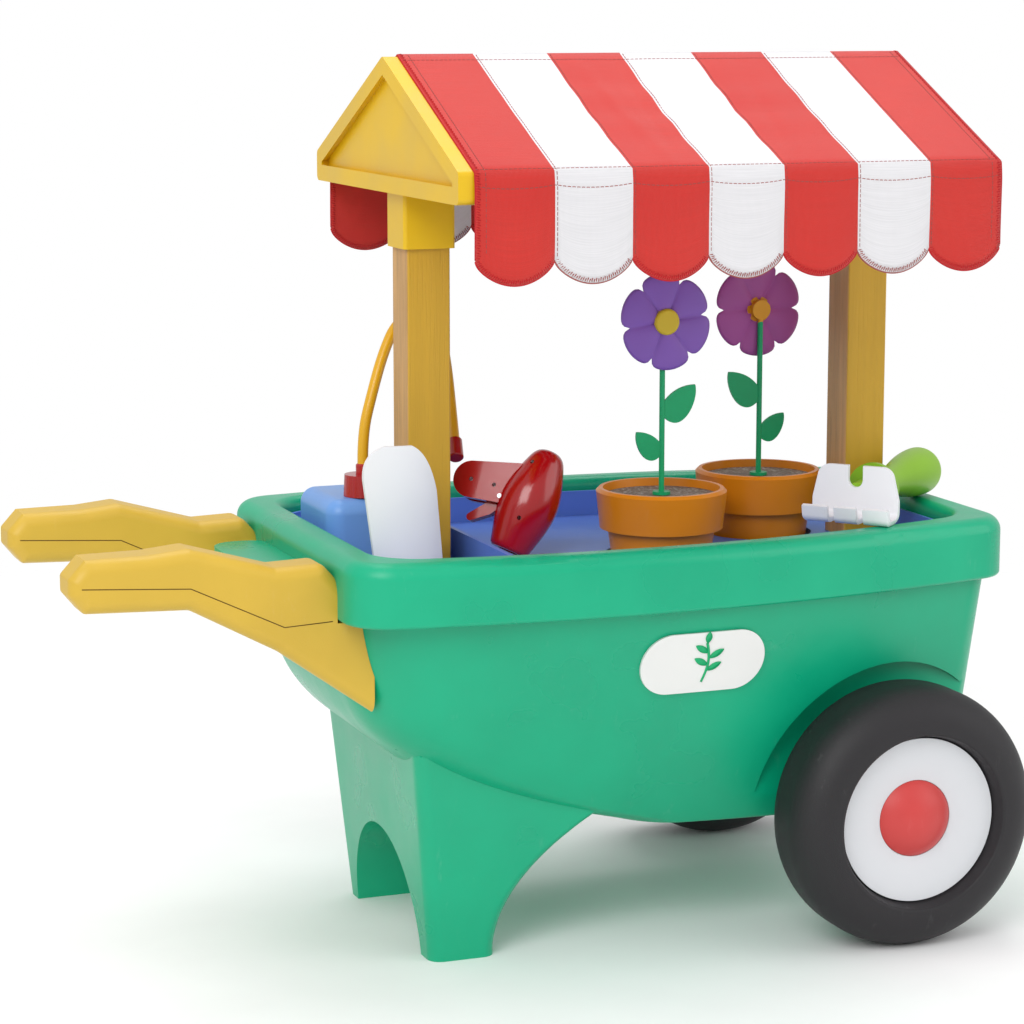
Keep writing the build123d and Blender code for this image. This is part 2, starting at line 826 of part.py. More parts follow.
with BuildPart() as gable_screws:
    for post_x, outward in post_names.values():
        seat_x = post_x - outward * collar_half
        head_plane = Plane(origin=(seat_x, 0, gable_screw_z), z_dir=(-outward, 0, 0))
        with BuildSketch(head_plane):
            Circle(handle_screw_head)
        extrude(amount=screw_head_thickness)
        with BuildSketch(head_plane):
            Circle(handle_screw_radius)
        extrude(amount=-gable_screw_length)
save(gable_screws, "gable_screws")

rod_start = flange_end["handle_end"]
rod_length = flange_end["wheel_end"] - rod_start
eave_rod_y = gable_half_width - rod_radius - 0.5
eave_rod_z = gable_eave_z - rod_radius
rod_places = {
    "ridge_rod": (0, gable_apex_z - rod_radius - 1.5),
    "eave_rod_left": (eave_rod_y, eave_rod_z),
    "eave_rod_right": (-eave_rod_y, eave_rod_z),
}
for rod_name, rod_place in rod_places.items():
    with BuildPart() as rod:
        with BuildSketch(Plane.YZ.offset(rod_start)):
            with Locations(rod_place):
                Circle(rod_radius)
        extrude(amount=rod_length)
    save(rod, rod_name)

# ---------------------------------------------------------------- canopy fabric
fold_y = gable_half_width + fabric_gap
roof_top = gable_apex_z + fabric_gap
fold_z = gable_eave_z + fabric_gap
fabric_length = fabric_end_x - fabric_start_x
stripe = fabric_length / stripe_count

with BuildPart() as canopy_fabric:
    with BuildSketch(Plane.YZ.offset(fabric_start_x)):
        with BuildLine():
            Polyline(
                (0, roof_top),
                (fold_y, fold_z),
                (fold_y, valance_z - scallop_drop),
                (fold_y + fabric_thickness, valance_z - scallop_drop),
                (fold_y + fabric_thickness, fold_z + fabric_thickness),
                (0, roof_top + fabric_thickness),
                close=True,
            )
        make_face()
        mirror(about=Plane.YZ)
    extrude(amount=fabric_length)
    # scalloped hem, one scallop to each stripe
    with BuildSketch(Plane.XZ.offset(-fold_y - 5)):
        with Locations((fabric_start_x + fabric_length / 2, valance_z - scallop_drop / 2)):
            Rectangle(fabric_length, scallop_drop)
        for i in range(stripe_count):
            with Locations((fabric_start_x + stripe * (i + 0.5), valance_z)):
                Ellipse(stripe / 2, scallop_drop, mode=Mode.SUBTRACT)
    extrude(amount=2 * fold_y + 10, mode=Mode.SUBTRACT)
save(canopy_fabric, "canopy_fabric")

# ---------------------------------------------------------------- pots and flowers
for letter, (pot_x, pot_y), turn in (("a", pot_a, 1), ("b", pot_b, -1)):
    pot_plane = Plane(origin=(pot_x, pot_y, 0), x_dir=(1, 0, 0), z_dir=(0, -1, 0))
    pot_axis = Axis((pot_x, pot_y, 0), (0, 0, 1))
    pot_base = cup_floor_z + pot_seat_gap
    rim_base = pot_rim_z - pot_rim_height
    soil_top = pot_rim_z - soil_depth
    with BuildPart() as pot:
        with BuildSketch(pot_plane):
            with BuildLine():
                Polyline(
                    (0, pot_base),
                    (pot_foot_radius, pot_base),
                    (pot_top_radius, rim_base),
                    (pot_rim_radius - 2.5, rim_base),
                    (pot_rim_radius, pot_rim_z - 2),
                    (pot_rim_radius - 2, pot_rim_z),
                    (pot_rim_radius - pot_wall - 2, pot_rim_z),
                    (pot_rim_radius - pot_wall - 3, soil_top - soil_thickness),
                    (pot_top_radius - pot_wall, soil_top - soil_thickness),
                    (pot_foot_radius - pot_wall, pot_base + pot_wall),
                    (0, pot_base + pot_wall),
                    close=True,
                )
            make_face()
        revolve(axis=pot_axis)
    save(pot, f"pot_{letter}")

    with BuildPart() as soil:
        with BuildSketch(Plane.XY.offset(soil_top - soil_thickness)):
            with Locations((pot_x, pot_y)):
                Circle(pot_rim_radius - pot_wall - 3.3)
                Circle(stem_radius + 1.7, mode=Mode.SUBTRACT)
        extrude(amount=soil_thickness)
    save(soil, f"soil_{letter}")

    # the head lies in front of the stem on one flower and behind it on the other
    flower_top = flower_z - (1 if turn < 0 else 0)
    flower_plane = Plane(
        origin=(pot_x, pot_y - turn * (hub_half + head_gap), 0),
        x_dir=(turn, 0, 0),
        z_dir=(0, -turn, 0),
    )
    with BuildPart() as stem:
        with BuildSketch(Plane.XY.offset(soil_top - 12)):
            with Locations((pot_x, pot_y)):
                Circle(stem_radius + 1.5)
        extrude(amount=12)
        with BuildSketch(Plane.XY.offset(soil_top + 0.3)):
            with Locations((pot_x, pot_y)):
                Circle(clip_radius)
        extrude(amount=2)
        with BuildSketch(Plane.XY.offset(soil_top - 1)):
            with Locations((pot_x, pot_y)):
                Circle(stem_radius)
        extrude(amount=flower_top - soil_top + 1)
        with BuildSketch(flower_plane.offset(-head_gap)):
            with Locations((0, flower_top)):
                Circle(flower_centre_radius - 2)
        extrude(amount=-2 * hub_half)
        for leaf_z, leaf_side, leaf_size in ((soil_top + 56, 1, 1.0), (soil_top + 30, -1, 0.78)):
            with BuildSketch(flower_plane.offset(-hub_half - head_gap - leaf_thickness / 2)):
                with BuildLine():
                    Spline(
                        (0, leaf_z - 4 * leaf_size),
                        (leaf_side * 12 * leaf_size, leaf_z - 9 * leaf_size),
                        (leaf_side * 22 * leaf_size, leaf_z + 3 * leaf_size),
                        (leaf_side * 23 * leaf_size, leaf_z + 15 * leaf_size),
                    )
                    Spline(
                        (leaf_side * 23 * leaf_size, leaf_z + 15 * leaf_size),
                        (leaf_side * 10 * leaf_size, leaf_z + 12 * leaf_size),
                        (0, leaf_z + 3 * leaf_size),
                    )
                    Line((0, leaf_z + 3 * leaf_size), (0, leaf_z - 4 * leaf_size))
                make_face()
            extrude(amount=leaf_thickness)
    save(stem, f"flower_stem_{letter}")

    with BuildPart() as petals:
        with BuildSketch(flower_plane):
            with Locations((0, flower_top)):
                with PolarLocations(petal_reach, petal_count, start_angle=90):
                    Circle(petal_radius)
                Circle(petal_reach - 2)
                Circle(flower_centre_radius + 0.1, mode=Mode.SUBTRACT)
        extrude(amount=petal_thickness)
    save(petals, f"flower_petals_{letter}")

    with BuildPart() as centre:
        with BuildSketch(flower_plane):
            with Locations((0, flower_top)):
                Circle(flower_centre_radius)
        extrude(amount=petal_thickness + 2.5)
        fillet(centre.faces().filter_by(Axis.Y).sort_by(Axis.Y)[0 if turn > 0 else -1].edges(), 2)
    save(centre, f"flower_centre_{letter}")

# ---------------------------------------------------------------- sprayer tank
tank_bottom_z = bay_floor_z + seat_gap
tank_middle = ((tank_front_x + tank_back_x) / 2, (tank_near_y + tank_far_y) / 2)
tank_size = (tank_back_x - tank_front_x, tank_far_y - tank_near_y)

with BuildPart() as tank:
    with BuildSketch(Plane.XY.offset(tank_bottom_z)):
        with Locations(tank_middle):
            RectangleRounded(*tank_size, tank_round)
    extrude(amount=tank_top_z - tank_bottom_z)
    fillet(tank.faces().sort_by(Axis.Z)[-1].edges(), tank_round - 1)
    fillet(tank.faces().sort_by(Axis.Z)[0].edges(), 3)
    with BuildSketch(Plane.XY.offset(tank_bottom_z + tank_wall)):
        with Locations(tank_middle):
            RectangleRounded(*[size - 2 * tank_wall for size in tank_size], tank_round - tank_wall)
    extrude(amount=tank_top_z - tank_bottom_z - 10, mode=Mode.SUBTRACT)
    with BuildSketch(Plane.XY.offset(tank_top_z - 12)):
        with Locations(cap_place):
            Circle(nipple_radius + running_gap)
    extrude(amount=14, mode=Mode.SUBTRACT)
save(tank, "tank")

with BuildPart() as tank_cap:
    with BuildSketch(Plane.XY.offset(tank_top_z + seat_gap)):
        with Locations(cap_place):
            Circle(cap_radius_tank + 0.7)
            with PolarLocations(cap_radius_tank + 1.3, cap_ribs):
                Circle(0.8, mode=Mode.SUBTRACT)
    extrude(amount=cap_height_tank, taper=3)
    with BuildSketch(Plane.XY.offset(tank_top_z)):
        with Locations(cap_place):
            Circle(nipple_radius + running_gap)
    extrude(amount=cap_height_tank + 5, mode=Mode.SUBTRACT)
save(tank_cap, "tank_cap")

with BuildPart() as hose_nipple:
    with BuildSketch(Plane.XY.offset(tank_top_z - 11)):
        with Locations(cap_place):
            Circle(nipple_radius)
    extrude(amount=hose_route[0][2] - tank_top_z + 11)
    chamfer(hose_nipple.edges().filter_by(GeomType.CIRCLE).sort_by(Axis.Z)[-1], 0.8)
save(hose_nipple, "hose_nipple")

# ---------------------------------------------------------------- hose
route = [Vector(*point) for point in hose_route]
runs = [(b - a).length for a, b in zip(route, route[1:])]
turns = [(b - a).get_angle(c - b) for a, b, c in zip(route, route[1:], route[2:])]
radii = [
    0.45 * min(before, after) / tan(radians(turn / 2))
    for before, after, turn in zip(runs, runs[1:], turns)
]
print("hose radii", [round(radius) for radius in radii])

with BuildPart() as hose:
    with BuildLine() as hose_path:
        FilletPolyline(*route, radius=radii)
    with BuildSketch(Plane(origin=route[0], z_dir=route[1] - route[0])):
        Circle(hose_radius)
    sweep(path=hose_path.line)
save(hose, "hose")

# ---------------------------------------------------------------- hose connector and spray gun
hose_heading = (route[-1] - route[-2]).normalized()
connector_plane = Plane(origin=route[-1], z_dir=hose_heading)
with BuildPart() as connector:
    with BuildSketch(connector_plane):
        Circle(connector_radius)
    extrude(amount=connector_length)
    chamfer(connector.edges().filter_by(GeomType.CIRCLE), 0.7)
save(connector, "hose_connector")

nozzle = Vector(*gun_nozzle)
barrel_line = Vector(*gun_back) - nozzle
barrel_length = barrel_line.length
gun_normal = barrel_line.cross(Vector(*gun_butt) - nozzle).normalized()
gun_plane = Plane(origin=nozzle, x_dir=barrel_line.normalized(), z_dir=gun_normal)
barrel_axis = Axis(gun_nozzle, tuple(barrel_line.normalized()))
butt = gun_plane.to_local_coords(Vector(*gun_butt))
screw_places = [
    (barrel_length - 12, 5),
    (gun_ring_length + 7, -4),
    (butt.X + 3, butt.Y - 12),
    (butt.X + 5, butt.Y - 28),
]
screw_boss = 4.0


def gun_solid(inset):
    """The gun's outside, or its hollow when moved inwards."""
    with BuildPart() as solid:
        with BuildSketch(gun_plane):
            with BuildLine():
                start = (gun_ring_length + inset / 2, 0)
                shoulder = (gun_ring_length + inset / 2, gun_nose_radius + 3.3 - inset)
                back = (barrel_length - inset, 0)
                Line(start, shoulder)
                Spline(
                    shoulder,
                    (0.52 * barrel_length, gun_radius - inset),
                    (0.86 * barrel_length, 0.66 * gun_radius - inset),
                    back,
                    tangents=((1, 0.25), (0, -1)),
                )
                Line(back, start)
            make_face()
        revolve(axis=barrel_axis)
        with BuildSketch(gun_plane):
            with Locations((0.6 * barrel_length, 6)):
                Circle(grip_width / 2 + 2 - inset)
            with Locations((butt.X + 3, butt.Y - grip_width / 2)):
                Circle(grip_width / 2 - inset)
            make_hull()
        extrude(amount=grip_depth / 2 - inset, both=True)
    return solid.part


with BuildPart() as gun_hollow:
    add(gun_solid(gun_wall))
    with BuildSketch(gun_plane):
        with Locations(*screw_places, trigger_pivot):
            Circle(screw_boss)
    extrude(amount=gun_radius + 5, both=True, mode=Mode.SUBTRACT)

with BuildPart() as gun_body:
    add(gun_solid(0))
    add(gun_hollow.part, mode=Mode.SUBTRACT)
    # slot for the trigger, holes for pin, screws and hose connector
    with BuildSketch(gun_plane):
        with Locations(trigger_pivot):
            Circle(5.5)
        with BuildLine():
            Polyline(*trigger_sweep, close=True)
        make_face()
    extrude(amount=trigger_slot / 2, both=True, mode=Mode.SUBTRACT)
    with BuildSketch(gun_plane):
        with Locations(trigger_pivot):
            Circle(pin_radius + running_gap)
        with Locations(*screw_places):
            Circle(screw_radius + running_gap)
    extrude(amount=gun_radius + 5, both=True, mode=Mode.SUBTRACT)
    with BuildSketch(gun_plane.offset(-screw_head_depth)):
        with Locations(*screw_places):
            Circle(screw_head_radius + running_gap)
    extrude(amount=-gun_radius, mode=Mode.SUBTRACT)
    with BuildSketch(connector_plane.offset(-0.5)):
        Circle(connector_radius + 0.1)
    extrude(amount=connector_length + 0.6, mode=Mode.SUBTRACT)

for half, toward in (("left", 1), ("right", -1)):
    with BuildPart() as gun_shell:
        add(gun_body.part)
        with BuildSketch(gun_plane):
            with Locations((barrel_length / 2, 20)):
                Rectangle(300, 300)
        extrude(amount=toward * 40, mode=Mode.INTERSECT)
    save(gun_shell, f"gun_shell_{half}")

with BuildPart() as gun_nose:
    with BuildSketch(gun_plane):
        with BuildLine():
            Polyline(
                (2.5, 0),
                (2.5, 5),
                (0, 7),
                (0, gun_nose_radius - 1.5),
                (1.5, gun_nose_radius),
                (gun_ring_length, gun_nose_radius + 3.3),
                (gun_ring_length, 0),
                close=True,
            )
        make_face()
    revolve(axis=barrel_axis)
save(gun_nose, "gun_nose")

with BuildPart() as gun_screws:
    with BuildSketch(gun_plane.offset(-screw_head_depth)):
        with Locations(*screw_places):
            Circle(screw_head_radius)
    extrude(amount=-1.6)
    with BuildSketch(gun_plane.offset(-screw_head_depth)):
        with Locations(*screw_places):
            Circle(screw_radius)
    extrude(amount=screw_head_depth + 4)
save(gun_screws, "gun_screws")

with BuildPart() as trigger_pin:
    with BuildSketch(gun_plane.offset(-trigger_pin_half)):
        with Locations(trigger_pivot):
            Circle(pin_radius)
    extrude(amount=2 * trigger_pin_half)
save(trigger_pin, "trigger_pin")

with BuildPart() as trigger:
    with BuildSketch(gun_plane):
        with Locations(trigger_pivot):
            Circle(trigger_boss)
        with Locations(trigger_middle):
            Circle(4)
        make_hull()
    extrude(amount=trigger_width / 2, both=True)
    with BuildSketch(gun_plane):
        with Locations(trigger_middle):
            Circle(4)
        with Locations(trigger_tip):
            Circle(2.5)
        make_hull()
    extrude(amount=trigger_width / 2, both=True)
    with BuildSketch(gun_plane):
        with Locations(trigger_pivot):
            Circle(pin_radius + running_gap)
    extrude(amount=trigger_width, both=True, mode=Mode.SUBTRACT)
    # room for the spring beside the lever
    with BuildSketch(gun_plane.offset(trigger_width / 2 - spring_width - seat_gap)):
        with Locations(trigger_pivot):
            Circle(trigger_boss + 1)
    extrude(amount=spring_width + 1, mode=Mode.SUBTRACT)
save(trigger, "trigger")

with BuildPart() as trigger_spring:
    with BuildSketch(gun_plane.offset(trigger_width / 2 - spring_width)):
        with Locations(trigger_pivot):
            Circle(spring_radius)
            Circle(pin_radius + seat_gap, mode=Mode.SUBTRACT)
    extrude(amount=spring_width)
save(trigger_spring, "trigger_spring")

# ---------------------------------------------------------------- trowel
grip_bottom_z = bay_floor_z + seat_gap
with BuildPart() as trowel_handle:
    with BuildSketch(Plane.XY.offset(grip_bottom_z)):
        with Locations((trowel_x, trowel_y)):
            Circle(trowel_grip_radius)
    extrude(amount=trowel_neck_z - grip_bottom_z)
    fillet(trowel_handle.edges().filter_by(GeomType.CIRCLE), 2.5)
    with BuildSketch(Plane.XY.offset(trowel_neck_z)):
        with Locations((trowel_x, trowel_y)):
            Circle(tang_radius + running_gap)
    extrude(amount=-trowel_tang, mode=Mode.SUBTRACT)
save(trowel_handle, "trowel_handle")

with BuildPart() as trowel_blade:
    # a gutter of constant curve, cut to the outline of the blade
    with BuildSketch(Plane.XY.offset(trowel_neck_z)):
        with Locations((trowel_x, trowel_y + trowel_curve)):
            Circle(trowel_curve)
            Circle(trowel_curve - trowel_thickness, mode=Mode.SUBTRACT)
            Rectangle(
                3 * trowel_curve, 2 * trowel_curve, align=(Align.CENTER, Align.MIN), mode=Mode.SUBTRACT
            )
    extrude(amount=trowel_top_z - trowel_neck_z)
    with BuildSketch(Plane.XZ.offset(-trowel_y)) as blade_outline:
        shoulder_z = trowel_neck_z + 14
        left_top = (trowel_x - trowel_half_width, trowel_top_z - 22)
        right_top = (trowel_x + trowel_half_width - 5, trowel_top_z - 29)
        with BuildLine():
            Polyline((trowel_x - 7, trowel_neck_z), (trowel_x - 20, shoulder_z), left_top)
            Spline(
                left_top,
                (trowel_x - trowel_half_width + 12, trowel_top_z),
                right_top,
                tangents=((-0.05, 1), (0.25, -1)),
            )
            Polyline(
                right_top,
                (trowel_x + trowel_half_width, shoulder_z),
                (trowel_x + 7, trowel_neck_z),
                (trowel_x - 7, trowel_neck_z),
            )
        make_face()
    extrude(amount=2 * trowel_curve, both=True, mode=Mode.INTERSECT)
    # socket and tang
    with BuildSketch(Plane.XY.offset(trowel_neck_z)):
        with Locations((trowel_x, trowel_y)):
            Circle(trowel_grip_radius - 2)
    extrude(amount=12, taper=25)
    with BuildSketch(Plane.XY.offset(trowel_neck_z)):
        with Locations((trowel_x, trowel_y)):
            Circle(tang_radius)
    extrude(amount=1 - trowel_tang)
save(trowel_blade, "trowel_blade")

# ---------------------------------------------------------------- rake
rake_heading = Vector(cos(radians(rake_turn)), sin(radians(rake_turn)), 0)
rake_width_line = Vector(sin(radians(rake_turn)), -cos(radians(rake_turn)), 0)
rake_bottom_z = rim_top_z + rake_rest
rake_axis_z = rake_bottom_z + rake_bulb_radius
rake_origin = (*rake_place, rake_bottom_z)
profile_plane = Plane(origin=rake_origin, x_dir=-rake_heading, z_dir=-rake_width_line)
face_plane = Plane(origin=rake_origin, x_dir=rake_width_line, z_dir=-rake_heading)
half_plate = rake_thickness / 2

with BuildPart() as rake_head:
    # back plate, bend and upturned tine tips in one strip
    with BuildSketch(profile_plane):
        with BuildLine() as strip:
            FilletPolyline(
                (0, rake_plate_height),
                (0, half_plate),
                (rake_hook, half_plate),
                (rake_hook + 2, rake_tip),
                radius=[6, 4],
            )
        trace(line_width=rake_thickness)
    extrude(amount=rake_half_width, both=True)
    # rounded top corners and the notch
    with BuildSketch(face_plane) as plate_outline:
        with BuildLine():
            Polyline(
                (-rake_half_width, -rake_thickness),
                (-rake_half_width, 14),
                (-rake_half_top, rake_plate_height),
                (rake_half_top, rake_plate_height),
                (rake_half_width, 14),
                (rake_half_width, -rake_thickness),
                close=True,
            )
        make_face()
        fillet(plate_outline.vertices().group_by(Axis.Z)[-1], 8)
    extrude(amount=2 * rake_hook, both=True, mode=Mode.INTERSECT)
    with BuildSketch(face_plane):
        with Locations((0, rake_plate_height)):
            SlotOverall(28, 2 * rake_notch, rotation=90)
    extrude(amount=half_plate + 1, both=True, mode=Mode.SUBTRACT)
    # the slots between the tines
    with BuildSketch(face_plane.offset(half_plate + 3)):
        with Locations((rake_half_width / 3, 0), (-rake_half_width / 3, 0)):
            Rectangle(rake_slot, 2 * rake_plate_height)
    extrude(amount=2 * rake_hook, mode=Mode.SUBTRACT)
    # the tang in the handle
    with BuildSketch(Plane(origin=(*rake_place, rake_axis_z), z_dir=rake_heading)):
        Circle(tang_radius)
    extrude(amount=rake_flange_start)
save(rake_head, "rake_head")

with BuildPart() as rake_handle:
    handle_axis = Axis((*rake_place, rake_axis_z), tuple(rake_heading))
    with BuildSketch(Plane(origin=(*rake_place, rake_axis_z), x_dir=rake_heading, z_dir=rake_width_line)):
        with BuildLine():
            shoulder = rake_shoulder
            flange = rake_flange_start
            Polyline(
                (half_plate, tang_radius + running_gap),
                (half_plate, shoulder),
                (flange, shoulder + 1),
                (flange, rake_flange_radius),
                (flange + 3.5, rake_flange_radius),
                (flange + 5, rake_neck_radius + 3),
            )
            Spline(
                (flange + 5, rake_neck_radius + 3),
                (flange + 22, rake_neck_radius),
                (rake_bulb_reach, rake_bulb_radius),
                tangents=((1, -0.6), (1, 0)),
            )
            CenterArc((rake_bulb_reach, 0), rake_bulb_radius, 90, -90)
            Polyline(
                (rake_bulb_reach + rake_bulb_radius, 0),
                (flange + 2, 0),
                (flange + 2, tang_radius + running_gap),
                (half_plate, tang_radius + running_gap),
            )
        make_face()
    revolve(axis=handle_axis)
save(rake_handle, "rake_handle")
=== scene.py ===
import math

import bmesh
import bpy
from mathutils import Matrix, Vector, noise


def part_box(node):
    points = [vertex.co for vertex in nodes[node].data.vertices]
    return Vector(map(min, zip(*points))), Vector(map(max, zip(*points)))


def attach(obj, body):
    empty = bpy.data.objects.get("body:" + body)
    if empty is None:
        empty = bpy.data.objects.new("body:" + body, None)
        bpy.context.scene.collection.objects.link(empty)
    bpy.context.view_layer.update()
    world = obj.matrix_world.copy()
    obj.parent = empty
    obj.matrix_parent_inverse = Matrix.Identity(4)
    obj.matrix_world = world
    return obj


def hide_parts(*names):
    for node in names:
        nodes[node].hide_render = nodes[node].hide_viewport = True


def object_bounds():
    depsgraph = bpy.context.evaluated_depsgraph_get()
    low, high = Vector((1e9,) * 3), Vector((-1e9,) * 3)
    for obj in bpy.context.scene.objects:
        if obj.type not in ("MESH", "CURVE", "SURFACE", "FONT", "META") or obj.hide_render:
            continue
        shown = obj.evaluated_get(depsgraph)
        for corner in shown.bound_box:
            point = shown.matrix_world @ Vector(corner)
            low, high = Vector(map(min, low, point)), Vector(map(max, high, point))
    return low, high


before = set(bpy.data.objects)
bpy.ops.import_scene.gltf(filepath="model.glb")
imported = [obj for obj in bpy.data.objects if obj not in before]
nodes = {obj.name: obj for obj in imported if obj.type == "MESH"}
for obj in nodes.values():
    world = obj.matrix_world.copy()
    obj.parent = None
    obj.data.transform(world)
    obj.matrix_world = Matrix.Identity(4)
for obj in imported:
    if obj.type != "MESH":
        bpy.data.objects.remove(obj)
cadBox = [list(corner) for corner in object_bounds()]
mm = 0.001


def linear(red, green, blue):
    # from screen values of 0 to 255
    return tuple((v / 255) ** 2.2 for v in (red, green, blue)) + (1.0,)


# camera

camera = {"place": (-0.6792, -1.8045, 0.5945), "elevation": 9.6, "azimuth": -20.8, "lens": 106.5}

cameraData = bpy.data.cameras.new("studioCamera")
cameraData.lens = camera["lens"]
cameraData.sensor_width = 36.0
cameraObject = bpy.data.objects.new("studioCamera", cameraData)
cameraObject.location = camera["place"]
cameraObject.rotation_euler = (
    math.radians(90 - camera["elevation"]), 0, math.radians(camera["azimuth"]),
)
bpy.context.scene.collection.objects.link(cameraObject)
bpy.context.scene.camera = cameraObject


# shared effects as node groups

def startGroup(name, inputs, outputs):
    group = bpy.data.node_groups.new(name, "ShaderNodeTree")
    for label, kind, value in inputs:
        socket = group.interface.new_socket(name=label, in_out="INPUT", socket_type=kind)
        socket.default_value = value
    for label, kind in outputs:
        group.interface.new_socket(name=label, in_out="OUTPUT", socket_type=kind)
    return group, group.nodes.new("NodeGroupInput"), group.nodes.new("NodeGroupOutput")


def mathNode(tree, operation, first, second=None):
    node = tree.nodes.new("ShaderNodeMath")
    node.operation = operation
    for socket, value in zip(node.inputs, (first, second)):
        if value is None:
            continue
        if isinstance(value, (int, float)):
            socket.default_value = value
        else:
            tree.links.new(value, socket)
    return node.outputs[0]


def noiseNode(tree, coordinates, scale, detail=3.0, roughness=0.5):
    node = tree.nodes.new("ShaderNodeTexNoise")
    node.inputs["Scale"].default_value = scale
    node.inputs["Detail"].default_value = detail
    node.inputs["Roughness"].default_value = roughness
    tree.links.new(coordinates, node.inputs["Vector"])
    return node.outputs["Fac"]


def scaledCoordinates(tree, amount):
    # object coordinates, stretched by an (x, y, z) amount
    coordinates = tree.nodes.new("ShaderNodeTexCoord")
    mapping = tree.nodes.new("ShaderNodeMapping")
    mapping.inputs["Scale"].default_value = amount
    tree.links.new(coordinates.outputs["Object"], mapping.inputs["Vector"])
    return mapping.outputs["Vector"]


def spread(tree, value, low, high):
    # maps low..high to 0..1
    node = tree.nodes.new("ShaderNodeMapRange")
    node.inputs["From Min"].default_value = low
    node.inputs["From Max"].default_value = high
    tree.links.new(value, node.inputs["Value"])
    return node.outputs["Result"]


def makeMouldedGroup():
    # slow mottling, fine pebble and the scuffs of moulded plastic
    group, given, out = startGroup(
        "mouldedPlastic",
        [("Pebble", "NodeSocketFloat", 0.5), ("Scuffs", "NodeSocketFloat", 0.3)],
        [
            ("Mottle", "NodeSocketFloat"),
            ("Scuff", "NodeSocketFloat"),
            ("Height", "NodeSocketFloat"),
        ],
    )
    plain = scaledCoordinates(group, (1, 1, 1))
    mottle = spread(group, noiseNode(group, plain, 14, 4), 0.35, 0.68)
    drawn = scaledCoordinates(group, (1, 1, 0.25))
    streaks = spread(group, noiseNode(group, drawn, 160, 6, 0.7), 0.6, 0.78)
    patches = spread(group, noiseNode(group, plain, 22, 2), 0.5, 0.7)
    scuff = mathNode(group, "MULTIPLY", streaks, patches)
    scuff = mathNode(group, "MULTIPLY", scuff, given.outputs["Scuffs"])
    pebble = mathNode(group, "MULTIPLY", noiseNode(group, plain, 1500, 2), given.outputs["Pebble"])
    wave = mathNode(group, "MULTIPLY", noiseNode(group, plain, 45, 1), 1.6)
    group.links.new(mottle, out.inputs["Mottle"])
    group.links.new(scuff, out.inputs["Scuff"])
    group.links.new(mathNode(group, "ADD", pebble, wave), out.inputs["Height"])
    return group


def makeWeaveGroup():
    # plain weave on cloth whose threads run along x and across it
    group, given, out = startGroup(
        "plainWeave",
        [("Slub", "NodeSocketFloat", 0.5)],
        [("Thread", "NodeSocketFloat"), ("Fade", "NodeSocketFloat"), ("Height", "NodeSocketFloat")],
    )
    coordinates = group.nodes.new("ShaderNodeTexCoord").outputs["UV"]
    bands = []
    for direction in ("X", "Y"):
        wave = group.nodes.new("ShaderNodeTexWave")
        wave.bands_direction = direction
        wave.inputs["Scale"].default_value = 420
        wave.inputs["Distortion"].default_value = 0.6
        group.links.new(coordinates, wave.inputs["Vector"])
        bands.append(wave.outputs["Fac"])
    stretched = group.nodes.new("ShaderNodeMapping")
    stretched.inputs["Scale"].default_value = (25, 900, 1)
    group.links.new(coordinates, stretched.inputs["Vector"])
    slub = noiseNode(group, stretched.outputs["Vector"], 1.0, 2)
    slub = mathNode(group, "MULTIPLY", slub, given.outputs["Slub"])
    crossed = mathNode(group, "MULTIPLY", bands[0], bands[1])
    group.links.new(mathNode(group, "ADD", crossed, slub), out.inputs["Height"])
    group.links.new(spread(group, slub, 0.1, 0.5), out.inputs["Thread"])
    fade = noiseNode(group, coordinates, 9, 3)
    group.links.new(spread(group, fade, 0.3, 0.7), out.inputs["Fade"])
    return group


def makeGrainGroup():
    # wood grain that runs up the posts
    group, given, out = startGroup(
        "woodGrain",
        [("Contrast", "NodeSocketFloat", 1.0)],
        [("Grain", "NodeSocketFloat"), ("Pore", "NodeSocketFloat"), ("Height", "NodeSocketFloat")],
    )
    slow = noiseNode(group, scaledCoordinates(group, (1, 1, 0.06)), 90, 4, 0.6)
    fine = noiseNode(group, scaledCoordinates(group, (1, 1, 0.025)), 700, 4, 0.7)
    grain = mathNode(group, "MULTIPLY", spread(group, slow, 0.35, 0.65), given.outputs["Contrast"])
    pore = spread(group, fine, 0.52, 0.72)
    group.links.new(grain, out.inputs["Grain"])
    group.links.new(pore, out.inputs["Pore"])
    group.links.new(mathNode(group, "SUBTRACT", grain, pore), out.inputs["Height"])
    return group


moulded = makeMouldedGroup()
weave = makeWeaveGroup()
woodGrain = makeGrainGroup()


# materials

def startMaterial(name):
    material = bpy.data.materials.new(name)
    material.use_nodes = True
    return material, material.node_tree, material.node_tree.nodes["Principled BSDF"]


def placeGroup(tree, group, values):
    node = tree.nodes.new("ShaderNodeGroup")
    node.node_tree = group
    for label, value in values.items():
        node.inputs[label].default_value = value
    return node.outputs


def mixColour(tree, factor, first, second):
    node = tree.nodes.new("ShaderNodeMix")
    node.data_type = "RGBA"
    tree.links.new(factor, node.inputs["Factor"])
    for socket, value in ((node.inputs[6], first), (node.inputs[7], second)):
        if isinstance(value, tuple):
            socket.default_value = value
        else:
            tree.links.new(value, socket)
    return node.outputs[2]


def addBump(tree, shader, height, distance, strength=1.0):
    bump = tree.nodes.new("ShaderNodeBump")
    bump.inputs["Distance"].default_value = distance
    bump.inputs["Strength"].default_value = strength
    tree.links.new(height, bump.inputs["Height"])
    tree.links.new(bump.outputs["Normal"], shader.inputs["Normal"])


def shade(colour, factor):
    return tuple(channel * factor for channel in colour[:3]) + (1.0,)


plasticBump = 0.25 * mm


